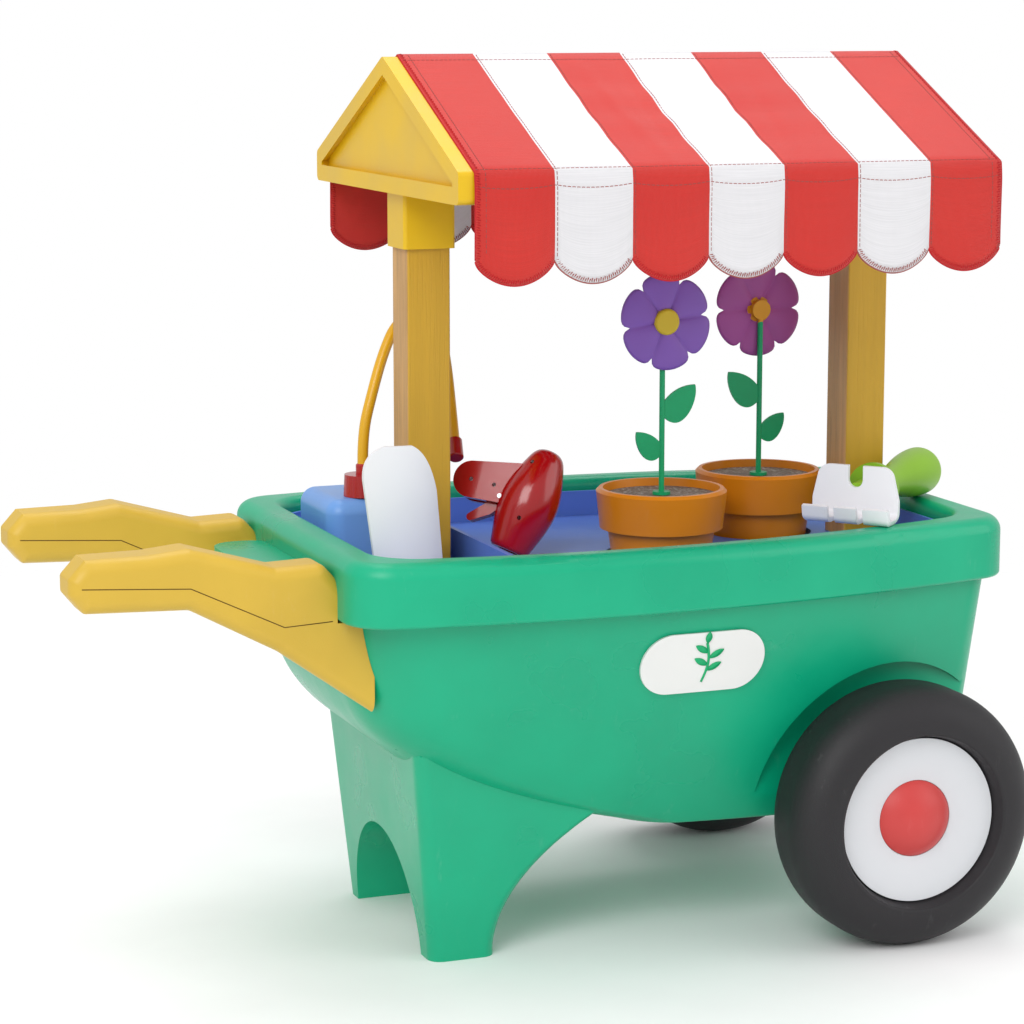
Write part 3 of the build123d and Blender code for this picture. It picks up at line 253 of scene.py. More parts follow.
def makePlastic(name, colour, roughness, pebble, scuffs, coat=0.0, variation=0.9):
    material, tree, shader = startMaterial(name)
    effect = placeGroup(tree, moulded, {"Pebble": pebble, "Scuffs": scuffs})
    base = mixColour(tree, effect["Mottle"], shade(colour, variation), colour)
    pale = tuple(min(1, 0.65 * channel + 0.3) for channel in colour[:3]) + (1.0,)
    tree.links.new(mixColour(tree, effect["Scuff"], base, pale), shader.inputs["Base Color"])
    rough = tree.nodes.new("ShaderNodeMapRange")
    rough.inputs["To Min"].default_value = roughness
    rough.inputs["To Max"].default_value = min(1, roughness + 0.14)
    tree.links.new(effect["Mottle"], rough.inputs["Value"])
    tree.links.new(rough.outputs["Result"], shader.inputs["Roughness"])
    shader.inputs["Coat Weight"].default_value = coat
    shader.inputs["Coat Roughness"].default_value = 0.12
    shader.inputs["Specular IOR Level"].default_value = 0.45
    addBump(tree, shader, effect["Height"], plasticBump, 0.5)
    return material


def makeCloth(name, colour, deep):
    material, tree, shader = startMaterial(name)
    effect = placeGroup(tree, weave, {"Slub": 0.6})
    faded = mixColour(tree, effect["Fade"], deep, colour)
    threaded = mixColour(tree, effect["Thread"], shade(colour, 0.84), faded)
    tree.links.new(threaded, shader.inputs["Base Color"])
    shader.inputs["Roughness"].default_value = 0.92
    shader.inputs["Specular IOR Level"].default_value = 0.15
    shader.inputs["Sheen Weight"].default_value = 0.25
    addBump(tree, shader, effect["Height"], 0.00035, 0.8)
    return material


def makePostWood(name, paint, timber):
    # mustard paint on the wide faces, bare timber on the faces towards the handles
    material, tree, shader = startMaterial(name)
    effect = placeGroup(tree, woodGrain, {"Contrast": 1.0})
    geometry = tree.nodes.new("ShaderNodeNewGeometry")
    split = tree.nodes.new("ShaderNodeSeparateXYZ")
    tree.links.new(geometry.outputs["Normal"], split.inputs["Vector"])
    facing = spread(tree, mathNode(tree, "ABSOLUTE", split.outputs["X"]), 0.55, 0.8)
    bare = mixColour(tree, effect["Grain"], shade(timber, 0.72), timber)
    pores = mathNode(tree, "MULTIPLY", effect["Pore"], 0.6)
    bare = mixColour(tree, pores, bare, shade(timber, 0.5))
    lines = mathNode(tree, "MULTIPLY", effect["Grain"], 0.5)
    painted = mixColour(tree, lines, paint, shade(paint, 0.86))
    tree.links.new(mixColour(tree, facing, painted, bare), shader.inputs["Base Color"])
    shader.inputs["Roughness"].default_value = 0.5
    addBump(tree, shader, effect["Height"], 0.0003, 0.5)
    return material


def makeStem(name, colour, hubColour, hub, hubRadius):
    # moulded plastic that turns to the disc's colour inside a ball round the hub
    material = makePlastic(name, colour, 0.36, 0.3, 0.1)
    tree = material.node_tree
    shader = tree.nodes["Principled BSDF"]
    base = shader.inputs["Base Color"].links[0].from_socket
    offset = tree.nodes.new("ShaderNodeVectorMath")
    offset.operation = "DISTANCE"
    offset.inputs[1].default_value = hub
    tree.links.new(tree.nodes.new("ShaderNodeTexCoord").outputs["Object"], offset.inputs[0])
    inside = mathNode(tree, "LESS_THAN", offset.outputs["Value"], hubRadius)
    tree.links.new(mixColour(tree, inside, base, hubColour), shader.inputs["Base Color"])
    return material


def makeSteel(name):
    material, tree, shader = startMaterial(name)
    effect = placeGroup(tree, moulded, {"Pebble": 0.3, "Scuffs": 0.6})
    base = mixColour(tree, effect["Mottle"], (0.42, 0.43, 0.45, 1), (0.6, 0.61, 0.63, 1))
    tree.links.new(base, shader.inputs["Base Color"])
    shader.inputs["Metallic"].default_value = 1.0
    shader.inputs["Roughness"].default_value = 0.34
    addBump(tree, shader, effect["Height"], 0.0001, 0.4)
    return material


def makeSoil(name):
    material, tree, shader = startMaterial(name)
    coordinates = scaledCoordinates(tree, (1, 1, 1))
    speck = spread(tree, noiseNode(tree, coordinates, 420, 3, 0.7), 0.45, 0.62)
    clump = spread(tree, noiseNode(tree, coordinates, 120, 3), 0.4, 0.62)
    base = mixColour(tree, clump, linear(150, 142, 130), linear(190, 186, 180))
    tree.links.new(mixColour(tree, speck, linear(120, 108, 96), base), shader.inputs["Base Color"])
    shader.inputs["Roughness"].default_value = 0.8
    addBump(tree, shader, mathNode(tree, "ADD", speck, clump), 0.0008, 0.7)
    return material


finishes = {
    "tubGreen": makePlastic("tubGreen", linear(0, 170, 126), 0.25, 0.5, 0.2),
    "handleMustard": makePlastic("handleMustard", linear(212, 174, 62), 0.36, 0.7, 0.2),
    "gableYellow": makePlastic("gableYellow", linear(230, 186, 24), 0.3, 0.5, 0.2),
    "tyreCharcoal": makePlastic("tyreCharcoal", linear(38, 36, 39), 0.5, 1.0, 0.3, variation=0.8),
    "discGrey": makePlastic("discGrey", linear(214, 216, 220), 0.38, 0.3, 0.1, variation=0.96),
    "capRed": makePlastic("capRed", linear(206, 68, 66), 0.36, 0.5, 0.2),
    "potOrange": makePlastic("potOrange", linear(224, 134, 20), 0.28, 0.3, 0.15),
    "stemGreen": makePlastic("stemGreen", linear(10, 168, 106), 0.36, 0.3, 0.1),
    "petalPurple": makePlastic("petalPurple", linear(136, 94, 188), 0.4, 0.3, 0.1),
    "petalMagenta": makePlastic("petalMagenta", linear(172, 84, 160), 0.4, 0.3, 0.1),
    "middleYellow": makePlastic("middleYellow", linear(216, 186, 50), 0.4, 0.3, 0.1),
    "middleAmber": makePlastic("middleAmber", linear(216, 146, 24), 0.4, 0.3, 0.1),
    "trayBlue": makePlastic("trayBlue", linear(96, 134, 224), 0.32, 0.5, 0.2),
    "tankBlue": makePlastic("tankBlue", linear(112, 162, 232), 0.28, 0.4, 0.2),
    "sprayerRed": makePlastic("sprayerRed", linear(172, 0, 16), 0.14, 0.2, 0.0, coat=0.5),
    "hoseYellow": makePlastic("hoseYellow", linear(232, 174, 24), 0.3, 0.3, 0.1, coat=0.2),
    "toolWhite": makePlastic("toolWhite", linear(236, 236, 240), 0.35, 0.4, 0.1, variation=0.96),
    "gripLime": makePlastic("gripLime", linear(134, 184, 36), 0.3, 0.3, 0.15),
    "badgeWhite": makePlastic(
        "badgeWhite", linear(232, 232, 230), 0.28, 0.2, 0.1, coat=0.3, variation=0.97,
    ),
    "bushingWhite": makePlastic("bushingWhite", linear(232, 232, 226), 0.45, 0.4, 0.1),
    "postWood": makePostWood("postWood", linear(206, 160, 44), linear(208, 160, 100)),
    "zincSteel": makeSteel("zincSteel"),
    "soilSpeckle": makeSoil("soilSpeckle"),
    "clothRed": makeCloth("clothRed", linear(222, 62, 54), linear(210, 48, 46)),
    "clothWhite": makeCloth("clothWhite", linear(246, 245, 248), linear(240, 238, 241)),
    # seamShadow is painted shade: a darker mustard laid along the handle seams
    "seamShadow": makePlastic("seamShadow", linear(96, 70, 22), 0.8, 0.2, 0.0),
    "threadRed": makePlastic("threadRed", linear(190, 26, 36), 0.8, 0.2, 0.0),
    "threadBrick": makePlastic("threadBrick", linear(160, 84, 80), 0.8, 0.2, 0.0),
}
finishes["stemAmberHub"] = makeStem(
    "stemAmberHub", linear(10, 168, 106), linear(224, 156, 30),
    (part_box("flower_petals_b")[0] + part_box("flower_petals_b")[1]) / 2, 10 * mm,
)
print("materials", len(finishes))


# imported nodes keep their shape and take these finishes

nodeFinish = {
    "tub": "tubGreen", "tray": "trayBlue", "tank": "tankBlue", "tank_cap": "sprayerRed",
    "hose_nipple": "sprayerRed", "hose_connector": "sprayerRed", "gun_nose": "sprayerRed",
    "gun_shell_left": "sprayerRed", "gun_shell_right": "sprayerRed", "trigger": "sprayerRed",
    "trowel_blade": "toolWhite", "trowel_handle": "gripLime", "rake_head": "toolWhite",
    "rake_handle": "gripLime", "flower_centre_a": "middleYellow", "flower_centre_b": "middleAmber",
}
for ending, finish in (
    ("_upper", "handleMustard"), ("_lower", "handleMustard"), ("screws", "zincSteel"),
    ("rod", "zincSteel"), ("rod_left", "zincSteel"), ("rod_right", "zincSteel"),
    ("axle", "zincSteel"), ("washers", "zincSteel"), ("push_nuts", "zincSteel"),
    ("trigger_pin", "zincSteel"), ("trigger_spring", "zincSteel"),
):
    nodeFinish.update({name: finish for name in nodes if name.endswith(ending)})
for start, finish in (
    ("tyre_", "tyreCharcoal"), ("wheel_disc_", "discGrey"),
    ("hub_cap_", "capRed"), ("pot_", "potOrange"),
    ("soil_", "soilSpeckle"), ("post_", "postWood"), ("gable_handle_end", "gableYellow"),
    ("gable_wheel_end", "gableYellow"), ("badge_", "badgeWhite"), ("bushing_", "bushingWhite"),
    ("flower_stem_", "stemGreen"), ("flower_stem_b", "stemAmberHub"),
    ("flower_petals_a", "petalPurple"), ("flower_petals_b", "petalMagenta"),
):
    nodeFinish.update({name: finish for name in nodes if name.startswith(start)})

softEdges = {  # radius in mm
    "post_": 0.5, "gable_handle_end": 1.6, "gable_wheel_end": 1.6, "tray": 0.8,
}
edgeTurns = {"round": math.radians(38), "crease": math.radians(42)}
weldReach = 0.01 * mm


def dressNode(name, node):
    node.data.materials.clear()
    node.data.materials.append(finishes[nodeFinish[name]])
    for polygon in node.data.polygons:
        polygon.use_smooth = True
    weld = node.modifiers.new("weld", "WELD")
    weld.merge_threshold = weldReach
    for start, width in softEdges.items():
        if name.startswith(start) and "screws" not in name:
            rounding = node.modifiers.new("roundedEdges", "BEVEL")
            rounding.width = width * mm
            rounding.segments = 3
            rounding.limit_method = "ANGLE"
            rounding.angle_limit = edgeTurns["round"]
            break
    split = node.modifiers.new("creases", "EDGE_SPLIT")
    split.split_angle = edgeTurns["crease"]
    flatten = node.modifiers.new("flatFaces", "WEIGHTED_NORMAL")
    flatten.mode = "FACE_AREA_WITH_ANGLE"
    flatten.weight = 80


for name, node in nodes.items():
    if name in nodeFinish:
        dressNode(name, node)
print("nodes dressed", len(nodeFinish), "of", len(nodes))


# making and placing pieces

def makePiece(name, mesh, body, materials=()):
    piece = bpy.data.objects.new(name, mesh)
    bpy.context.scene.collection.objects.link(piece)
    for material in materials:
        mesh.materials.append(material)
    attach(piece, body)
    return piece


def meshFrom(name, points, faces, smooth=True):
    mesh = bpy.data.meshes.new(name)
    mesh.from_pydata([tuple(point) for point in points], [], faces)
    mesh.validate()
    for polygon in mesh.polygons:
        polygon.use_smooth = smooth
    return mesh


def addTube(points, faces, path, radius, sides):
    # a tube along a list of points, with its ends capped
    first = len(points)
    count = len(path)
    side = None
    for i, place in enumerate(path):
        before = path[max(i - 1, 0)]
        after = path[min(i + 1, count - 1)]
        along = (after - before).normalized()
        if side is None:
            side = along.orthogonal().normalized()
        side = (side - along * side.dot(along)).normalized()
        across = along.cross(side)
        for k in range(sides):
            turn = 2 * math.pi * k / sides
            points.append(place + radius * (math.cos(turn) * side + math.sin(turn) * across))
    for i in range(count - 1):
        for k in range(sides):
            a = first + i * sides + k
            b = first + i * sides + (k + 1) % sides
            c = first + (i + 1) * sides + (k + 1) % sides
            d = first + (i + 1) * sides + k
            faces.append((a, b, c, d))
    faces.append(tuple(first + k for k in reversed(range(sides))))
    faces.append(tuple(first + (count - 1) * sides + k for k in range(sides)))


# hose: a cord from the tank's nipple to the gun's connector

hose = {"diameter": 0.007, "length": 0.222, "route": [
    (-0.0840, 0.0330, 0.3000),
    (-0.0840, 0.0330, 0.3200),
    (-0.0765, 0.0355, 0.3450),
    (-0.0670, 0.0420, 0.3690),
    (-0.0550, 0.0490, 0.3890),
    (-0.0345, 0.0605, 0.3940),
    (-0.0175, 0.0705, 0.3800),
    (-0.0120, 0.0735, 0.3560),
    (-0.0140, 0.0600, 0.3320),
    (-0.0195, 0.0380, 0.3110),
]}


def makeHose():
    curve = bpy.data.curves.new("sprayerHose", "CURVE")
    curve.dimensions = "3D"
    curve.bevel_depth = hose["diameter"] / 2
    curve.bevel_resolution = 6
    curve.resolution_u = 16
    spline = curve.splines.new("NURBS")
    spline.points.add(len(hose["route"]) - 1)
    for point, place in zip(spline.points, hose["route"]):
        point.co = (*place, 1)
    spline.order_u = 3
    spline.use_endpoint_u = True
    curve.materials.append(finishes["hoseYellow"])
    piece = bpy.data.objects.new("sprayerHose", curve)
    bpy.context.scene.collection.objects.link(piece)
    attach(piece, "cart")
    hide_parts("hose")


makeHose()
print("hose made")


# canopy: one striped cloth from scallop to scallop over the ridge

canopy = {
    "stripes": 7, "columns": 16, "slopeRows": 18, "valanceRows": 12,
    "flatWidth": 0.349, "flatLength": 0.441, "flatArea": 0.150,
    "valley": 443 * mm, "drop": 14.5 * mm, "eaveDrop": 64.2 * mm, "overGable": 0.6 * mm,
    "underRidge": 1.0 * mm, "waver": 0.5 * mm, "creaseWidth": 0.09,
    "threadsAcross": 0.05, "threadsDown": 0.0085,
    "sag": 3.2 * mm, "puff": 1.1 * mm, "ripple": 1.6 * mm, "bend": 5 * mm, "thickness": 0.9 * mm,
    # each crease: place in stripes, lean and depth
    "creases": (
        (0.55, 0.35, -0.9 * mm), (2.45, -0.3, 1.1 * mm), (2.8, 0.2, -0.8 * mm),
        (4.4, 0.4, -0.8 * mm), (6.35, -0.35, 1.2 * mm), (6.6, 0.25, -1.0 * mm),
    ),
}


def canopyFrameSizes():
    low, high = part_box("canopy_fabric")
    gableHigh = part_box("gable_handle_end")[1]
    return {
        "start": low.x, "end": high.x, "half": gableHigh.y + canopy["overGable"],
        "ridge": high.z - canopy["underRidge"], "eave": gableHigh.z - canopy["eaveDrop"],
        "innerStart": gableHigh.x, "innerEnd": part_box("gable_wheel_end")[0].x,
    }


roof = canopyFrameSizes()


def scallopBottom(share):
    # height of the cloth's lower edge across one stripe, share from 0 to 1
    return canopy["valley"] - canopy["drop"] * math.sin(math.pi * min(max(share, 0), 1)) ** 0.62


def creaseDepth(across, side, down):
    # soft folds left from packing, deepest on the middle of each slope
    depth = 0.0
    for at, lean, size in canopy["creases"]:
        away = (across - at - lean * (down - 0.5) * side) / canopy["creaseWidth"]
        depth += size * math.exp(-away * away) * math.sin(math.pi * min(max(down, 0), 1))
    return depth


def clothPlace(across, side, row):
    # across counts stripes from 0 to 7, and row runs from the ridge to the scallops
    x = roof["start"] + (roof["end"] - roof["start"]) * across / canopy["stripes"]
    share = across % 1.0 if across < canopy["stripes"] else 1.0
    puff = math.sin(math.pi * share)
    between = min(max((x - roof["innerStart"]) / (roof["innerEnd"] - roof["innerStart"]), 0), 1)
    free = math.sin(math.pi * between)
    rough = noise.noise(Vector((x * 22, side * 3.0 + row * 0.11, 1.7)))
    rise = roof["ridge"] - roof["eave"]
    slope = math.hypot(rise, roof["half"])
    outward = Vector((0, side * rise / slope, roof["half"] / slope))
    if row <= canopy["slopeRows"]:
        down = row / canopy["slopeRows"]
        place = Vector((x, side * roof["half"] * down, roof["ridge"] - rise * down))
        hang = math.sin(math.pi * down)
        evenness = 0.55 + 0.45 * math.cos(4 * math.pi * down) ** 2
        place -= outward * canopy["sag"] * free * hang * evenness
        place += outward * (canopy["puff"] * puff * hang * free + canopy["waver"] * rough * hang * free)
        place += outward * creaseDepth(across, side, down) * free
        return place
    down = (row - canopy["slopeRows"]) / canopy["valanceRows"]
    bottom = scallopBottom(share)
    bent = min(down * 4, 1)
    out = canopy["bend"] * 0.28 * math.sin(math.pi * bent / 2)
    wave = canopy["ripple"] * down * (puff - 0.35 + 0.8 * rough)
    height = roof["eave"] - (roof["eave"] - bottom) * down
    return Vector((x, side * (roof["half"] + out + wave), height))


def makeCanopyCloth():
    points, faces, stripeOf, flat = [], [], [], []
    total = canopy["stripes"] * canopy["columns"]
    rows = canopy["slopeRows"] + canopy["valanceRows"]
    for i in range(total + 1):
        across = i / canopy["columns"]
        for line in range(-rows, rows + 1):
            side = -1 if line < 0 else 1
            points.append(clothPlace(across, side, abs(line)))
            flat.append((across * canopy["threadsAcross"], line * canopy["threadsDown"]))
    wide = 2 * rows + 1
    for i in range(total):
        for k in range(wide - 1):
            corner = i * wide + k
            faces.append((corner, corner + wide, corner + wide + 1, corner + 1))
            stripeOf.append(i // canopy["columns"] % 2)
    mesh = meshFrom("canopyCloth", points, faces)
    layer = mesh.uv_layers.new(name="threads")
    for polygon in mesh.polygons:
        polygon.material_index = stripeOf[polygon.index]
        for loop in polygon.loop_indices:
            layer.data[loop].uv = flat[mesh.loops[loop].vertex_index]
    stripeFinishes = [finishes["clothRed"], finishes["clothWhite"]]
    return makePiece("canopyCloth", mesh, "canopy", stripeFinishes)


lastStripe = canopy["stripes"] - 1e-6


def pathOnCloth(side, start, end, steps, lift):
    # points on one side of the cloth between two (across, row) places, lifted outwards
    path = []
    for i in range(steps + 1):
        across, row = (a + (b - a) * i / steps for a, b in zip(start, end))
        path.append(clothPlace(min(across, lastStripe), side, row) + Vector((0, side * lift, lift)))
    return path


def resample(path, pitch):
    # the same path with points a pitch apart
    result = [path[0]]
    left = pitch
    for a, b in zip(path, path[1:]):
        length = (b - a).length
        done = 0.0
        while length - done >= left:
            done += left
            result.append(a.lerp(b, done / length))
            left = pitch
        left -= length - done
    return result


stitching = {
    "pitch": 3.0 * mm, "dash": 2.1 * mm, "thread": 0.28 * mm, "lift": 0.35 * mm, "arch": 0.1 * mm,
    "steps": 160, "seamBeside": 0.03, "hemInset": 0.13, "edgePitch": 1.5 * mm, "edgeReach": 3.0 * mm,
    "edgeThread": 0.32 * mm, "edgeWrap": 0.35 * mm, "edgeHalf": 0.75 * mm, "edgeCord": 0.55 * mm,
    "edgeDrop": 0.2 * mm, "edgeSteps": 60, "skew": 0.45, "shortReach": 0.8,
}


def makeStitchRows():
    # seams between stripes, hems at both ends, and rows under the ridge and at the eaves
    rows = canopy["slopeRows"] + canopy["valanceRows"]
    stripes = canopy["stripes"]
    points, faces = [], []
    runs = []
    for side in (-1, 1):
        for seam in range(1, stripes):
            across = seam + stitching["seamBeside"]
            runs.append((side, (across, 0.2), (across, rows - 0.6)))
        for across in (stitching["hemInset"], stripes - stitching["hemInset"]):
            runs.append((side, (across, 0.2), (across, rows - 2.2)))
        for row in (1.0, canopy["slopeRows"] - 0.25, canopy["slopeRows"] + 1.9):
            runs.append((side, (0.02, row), (stripes - 0.02, row)))
    arch = Vector((0, 0, stitching["arch"]))
    for side, start, end in runs:
        path = pathOnCloth(side, start, end, stitching["steps"], stitching["lift"])
        path = resample(path, stitching["pitch"])
        for a, b in zip(path, path[1:]):
            tip = a + (b - a) * stitching["dash"] / stitching["pitch"]
            addTube(points, faces, [a, a.lerp(tip, 0.5) + arch, tip], stitching["thread"], 5)
    mesh = meshFrom("canopyStitching", points, faces)
    return makePiece("canopyStitching", mesh, "canopy", [finishes["threadBrick"]])


def overlockEdges(wanted):
    # the scallops of every other stripe, and with the red ones both ends of the cloth
    rows = canopy["slopeRows"] + canopy["valanceRows"]
    steps = stitching["edgeSteps"]
    edges = []
    for side in (-1, 1):
        for stripe in range(wanted, canopy["stripes"], 2):
            places = [min(stripe + i / steps, lastStripe) for i in range(steps + 1)]
            edges.append([clothPlace(across, side, rows) for across in places])
        if wanted == 0:
            for across in (0.0, lastStripe):
                ends = [rows * i / (2 * steps) for i in range(2 * steps + 1)]
                edges.append([clothPlace(across, side, row) for row in ends])
    return edges


def edgeDirections(a, b):
    # into the cloth from its edge, and out of its surface
    along = (b - a).normalized()
    normal = Vector((0, 1 if a.y > 0 else -1, 0.02))
    if abs(along.z) > 0.3 and abs(along.x) < 0.2:  # an end of the cloth
        inward = Vector((1 if a.x < 0.1 else -1, 0, 0))
        normal = along.cross(inward).normalized()
    else:
        inward = along.cross(normal).normalized()
        if inward.z < 0:
            inward = -inward
    if normal.y * a.y < 0:
        normal = -normal
    return inward, normal


def makeOverlock(name, finish, wanted):
    # dense looped thread over a cord at the edge
    points, faces = [], []
    for edge in overlockEdges(wanted):
        path = resample(edge, stitching["edgePitch"])
        for i, (a, b) in enumerate(zip(path, path[1:])):
            inward, normal = edgeDirections(a, b)
            reach = stitching["edgeReach"] * (1.0 if i % 2 else stitching["shortReach"])
            skew = (b - a) * stitching["skew"]
            outer = a - inward * stitching["edgeWrap"]
            for face in (1, -1):
                tip = a + inward * reach + skew + face * normal * stitching["edgeHalf"]
                addTube(points, faces, [outer, tip], stitching["edgeThread"], 5)
        drop = Vector((0, 0, stitching["edgeDrop"]))
        addTube(points, faces, [place - drop for place in path], stitching["edgeCord"], 6)
    mesh = meshFrom(name, points, faces)
    return makePiece(name, mesh, "canopy", [finishes[finish]])


canopyCloth = makeCanopyCloth()
thicken = canopyCloth.modifiers.new("clothThickness", "SOLIDIFY")
thicken.thickness = canopy["thickness"]
thicken.offset = 0.0
stitchRows = makeStitchRows()
redEdging = makeOverlock("redEdging", "threadRed", 0)
whiteEdging = makeOverlock("whiteEdging", "threadBrick", 1)
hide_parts("canopy_fabric")
print("canopy made")


# the seam of each handle's two halves, seen as a fine dark line of painted shade, a darker copy of the
# handle's mustard sunk flush along the seam

handle = {"line": 0.45 * mm, "sink": 0.25 * mm, "seam": (
    (-0.3000, 0.2570), (-0.2350, 0.2530), (-0.1780, 0.2257), (-0.1480, 0.2272),
)}


def makeHandleSeamShade():
    points, faces = [], []
    for node in ("handle_right_upper", "handle_left_upper"):
        low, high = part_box(node)
        for y in (low.y + handle["sink"], high.y - handle["sink"]):
            path = [Vector((x, y, z)) for x, z in handle["seam"]]
            addTube(points, faces, path, handle["line"], 6)
    mesh = meshFrom("handleSeamShade", points, faces)
    # the dark tubes are painted shade along the seam, not a coloured part
    makePiece("handleSeamShade", mesh, "cart", [finishes["seamShadow"]])


makeHandleSeamShade()


# a raised sprig on each badge

badge = {
    "stem": 0.9 * mm, "height": 26 * mm, "sway": 3 * mm, "plate": 2 * mm,
    "leaf": 11 * mm, "width": 4.2 * mm, "rise": 0.9 * mm,
    # each leaf: place up the stem, turn in degrees and size
    "leaves": ((0.28, 28, 1.0), (0.42, 152, 1.0), (0.6, 30, 1.0), (0.74, 150, 1.0), (0.99, 84, 0.7)),
}


def leafOutline(length, width):
    # a pointed leaf from the origin along +x
    shares = [i / 14 for i in range(15)]
    upper = [(length * share, width * math.sin(math.pi * share) ** 0.8) for share in shares]
    return upper + [(x, -y) for x, y in reversed(upper[1:-1])]


def sprigStem(share):
    # across and up from the badge's middle, at a share of the stem's height
    return badge["sway"] * math.sin(3 * share), (share - 0.5) * badge["height"]


def makeSprig(node, side):
    low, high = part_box(node)
    middle = (low + high) / 2
    surface = high.y if side > 0 else low.y
    height = high.z - low.z
    lean = (high.y - low.y - badge["plate"]) / height
    points, faces = [], []

    def onBadge(u, v, lift):
        y = surface - side * (lean * height / 2 - lean * v) + side * lift
        return Vector((middle.x + u, y, middle.z + v))

    stemPath = [onBadge(*sprigStem(i / 12), 0) for i in range(13)]
    addTube(points, faces, stemPath, badge["stem"], 8)
    for at, turn, size in badge["leaves"]:
        angle = math.radians(turn)
        root = sprigStem(at)
        outline = leafOutline(badge["leaf"] * size, badge["width"] / 2)
        first = len(points)
        for lift in (-badge["rise"], badge["rise"] * 0.6):
            for u, v in outline:
                points.append(onBadge(
                    root[0] + u * math.cos(angle) - v * math.sin(angle),
                    root[1] + u * math.sin(angle) + v * math.cos(angle), lift,
                ))
        count = len(outline)
        faces.append(tuple(first + i for i in range(count)))
        faces.append(tuple(first + count + i for i in range(count)))
        for i in range(count):
            j = (i + 1) % count
            faces.append((first + i, first + j, first + count + j, first + count + i))
    mesh = meshFrom(f"sprig_{node}", points, faces)
    makePiece(f"sprig_{node}", mesh, "cart", [finishes["stemGreen"]])


makeSprig("badge_right", -1)
makeSprig("badge_left", 1)
print("seams and sprigs made")


# flower heads with domed petals

flower = {
    "rings": 14, "perPetal": 18, "petals": 6, "notch": 0.16, "roundness": 0.05, "hole": 0.2,
    "base": 1.0 * mm, "dome": 1.5 * mm, "groove": 0.5 * mm, "thinnest": 0.45 * mm,
    "backGroove": 0.3, "grooveWidth": 1 / 14,
}


def petalEdge(turn):
    # share of the full radius at an angle: full across a petal, notched between two
    local = (turn * flower["petals"] / (2 * math.pi)) % 1.0
    away = abs(local - 0.5) * 2
    return 1 - flower["roundness"] * away ** 2 - flower["notch"] * away ** 9


def petalDepth(share, local, surface):
    # from the disc's middle plane to a face, local being 0 mid-petal and 1 between two
    rim = 1 - share ** 14
    crown = (1 - local ** 2.2) * math.sin(math.pi * min(share * 0.92, 1)) ** 0.7
    groove = math.exp(-((1 - local) / flower["grooveWidth"]) ** 2)
    groove *= flower["groove"] * (1 if surface > 0 else flower["backGroove"])
    depth = flower["base"] + flower["dome"] * crown - groove
    return surface * max(flower["thinnest"], depth * (0.35 + 0.65 * rim))


def petalFaces(wide):
    # two sheets of rings, joined round the hole and round the edge
    rings = flower["rings"]
    back = (rings + 1) * wide
    faces = []
    for base in (0, back):
        for r in range(rings):
            for k in range(wide):
                a = base + r * wide + k
                b = base + r * wide + (k + 1) % wide
                faces.append((a, a + wide, b + wide, b) if base == 0 else (a, b, b + wide, a + wide))
    for ring in (0, rings):
        for k in range(wide):
            a = ring * wide + k
            b = ring * wide + (k + 1) % wide
            faces.append((a, b, b + back, a + back) if ring == 0 else (a, a + back, b + back, b))
    return faces


def makeFlowerHead(letter, front, turned, finish):
    # a disc of petals facing -Y or +Y, thick at the middle of each petal
    low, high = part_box(f"flower_petals_{letter}")
    centre = (low + high) / 2
    radius = (high.z - low.z) / 2
    around = flower["petals"] * flower["perPetal"]
    points = []
    for surface in (1, -1):
        for r in range(flower["rings"] + 1):
            share = flower["hole"] + (1 - flower["hole"]) * r / flower["rings"]
            for k in range(around):
                turn = 2 * math.pi * k / around
                local = abs((k / flower["perPetal"]) % 1.0 - 0.5) * 2
                reach = radius * share * (1 + (petalEdge(turn) - 1) * share ** 3)
                depth = petalDepth(share, local, surface)
                across = reach * math.sin(turn + turned)
                up = reach * math.cos(turn + turned)
                points.append(centre + Vector((across, -front * depth, up)))
    mesh = meshFrom(f"petals_{letter}", points, petalFaces(around))
    work = bmesh.new()
    work.from_mesh(mesh)
    bmesh.ops.recalc_face_normals(work, faces=work.faces)
    work.to_mesh(mesh)
    work.free()
    piece = makePiece(f"petals_{letter}", mesh, f"flower_{letter}", [finishes[finish]])
    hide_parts(f"flower_petals_{letter}")


makeFlowerHead("a", 1, math.radians(-38), "petalPurple")
makeFlowerHead("b", -1, math.radians(-30), "petalMagenta")
print("flowers made")


# floor and studio light

studio = {
    "floorSize": 14.0, "fadeStart": 0.75, "fadeEnd": 1.5, "worldStrength": 0.72,
    # each light: place, what it points at, size and power
    "lights": {
        "keyLight": ((-1.6, -1.8, 2.0), (0, 0, 0.3), 1.6, 40),
        "fillLight": ((1.9, -1.4, 1.2), (0, 0, 0.25), 1.8, 12),
        "topLight": ((0.3, 0.6, 2.4), (0, 0, 0.2), 1.6, 20),
    },
}


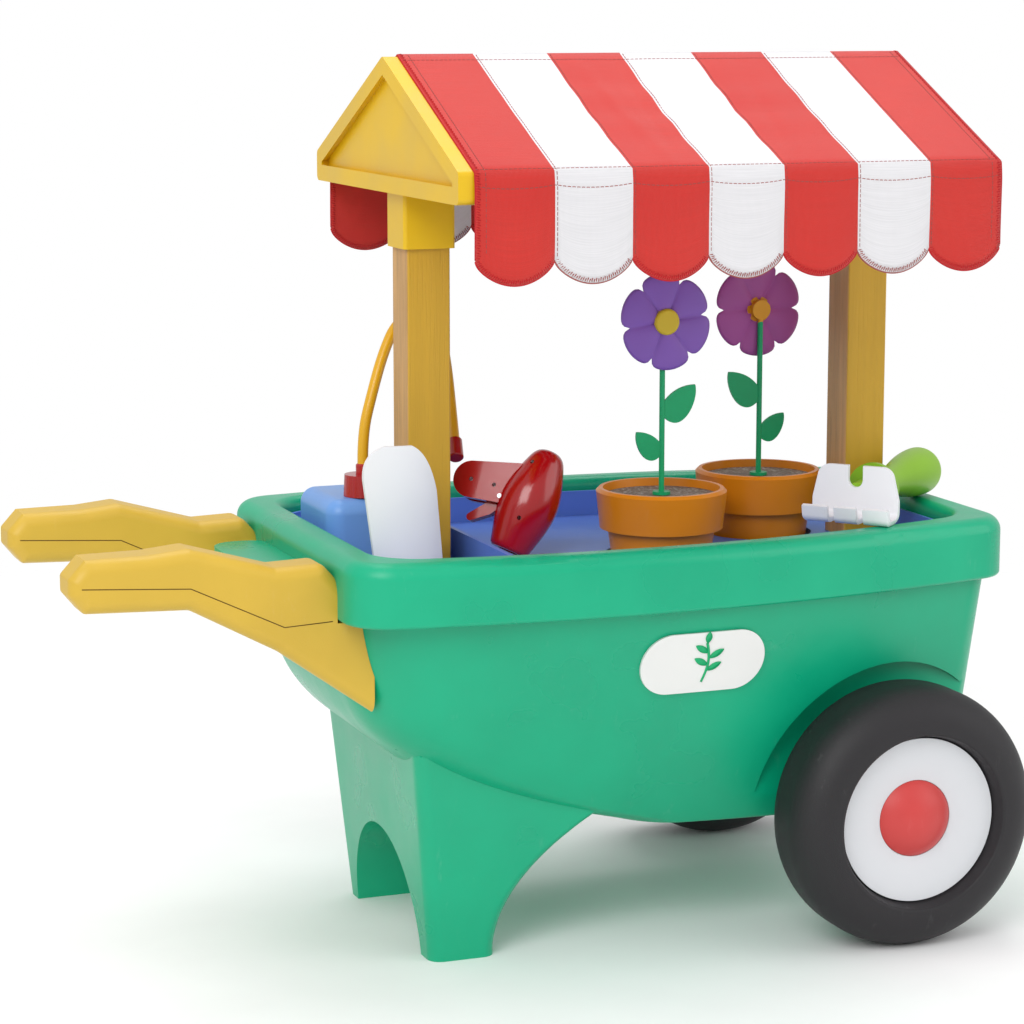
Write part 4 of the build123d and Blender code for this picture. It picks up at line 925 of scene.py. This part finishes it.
def makeFloor():
    half = studio["floorSize"] / 2
    corners = [(-half, -half, 0), (half, -half, 0), (half, half, 0), (-half, half, 0)]
    mesh = meshFrom("floor", corners, [(0, 1, 2, 3)])
    floor = bpy.data.objects.new("floor", mesh)
    floor.location.z = cadBox[0][2]
    bpy.context.scene.collection.objects.link(floor)
    material, tree, shader = startMaterial("paleFloor")
    effect = placeGroup(tree, moulded, {"Pebble": 0.2, "Scuffs": 0.0})
    base = mixColour(tree, effect["Mottle"], (0.93, 0.93, 0.93, 1), (0.95, 0.95, 0.95, 1))
    tree.links.new(base, shader.inputs["Base Color"])
    shader.inputs["Roughness"].default_value = 0.85
    clear = tree.nodes.new("ShaderNodeBsdfTransparent")
    blend = tree.nodes.new("ShaderNodeMixShader")
    distance = tree.nodes.new("ShaderNodeVectorMath")
    distance.operation = "LENGTH"
    tree.links.new(tree.nodes.new("ShaderNodeTexCoord").outputs["Object"], distance.inputs[0])
    fade = spread(tree, distance.outputs["Value"], studio["fadeStart"], studio["fadeEnd"])
    tree.links.new(fade, blend.inputs["Fac"])
    tree.links.new(shader.outputs["BSDF"], blend.inputs[1])
    tree.links.new(clear.outputs["BSDF"], blend.inputs[2])
    tree.links.new(blend.outputs["Shader"], tree.nodes["Material Output"].inputs["Surface"])
    mesh.materials.append(material)


def makeWorld():
    # white behind the cart, softer as a light
    world = bpy.data.worlds.new("studio")
    world.use_nodes = True
    tree = world.node_tree
    background = tree.nodes["Background"]
    background.inputs["Color"].default_value = (1, 1, 1, 1)
    seen = tree.nodes.new("ShaderNodeLightPath").outputs["Is Camera Ray"]
    strength = tree.nodes.new("ShaderNodeMapRange")
    strength.inputs["To Min"].default_value = studio["worldStrength"]
    strength.inputs["To Max"].default_value = 1.0
    tree.links.new(seen, strength.inputs["Value"])
    tree.links.new(strength.outputs["Result"], background.inputs["Strength"])
    bpy.context.scene.world = world


def makeLight(name, place, target, size, power):
    data = bpy.data.lights.new(name, "AREA")
    data.size = size
    data.energy = power
    light = bpy.data.objects.new(name, data)
    light.location = place
    light.rotation_euler = (Vector(target) - Vector(place)).to_track_quat("-Z", "Y").to_euler()
    bpy.context.scene.collection.objects.link(light)


makeFloor()
makeWorld()
bpy.context.scene.view_settings.view_transform = "Standard"
for name, settings in studio["lights"].items():
    makeLight(name, *settings)
print("studio ready")
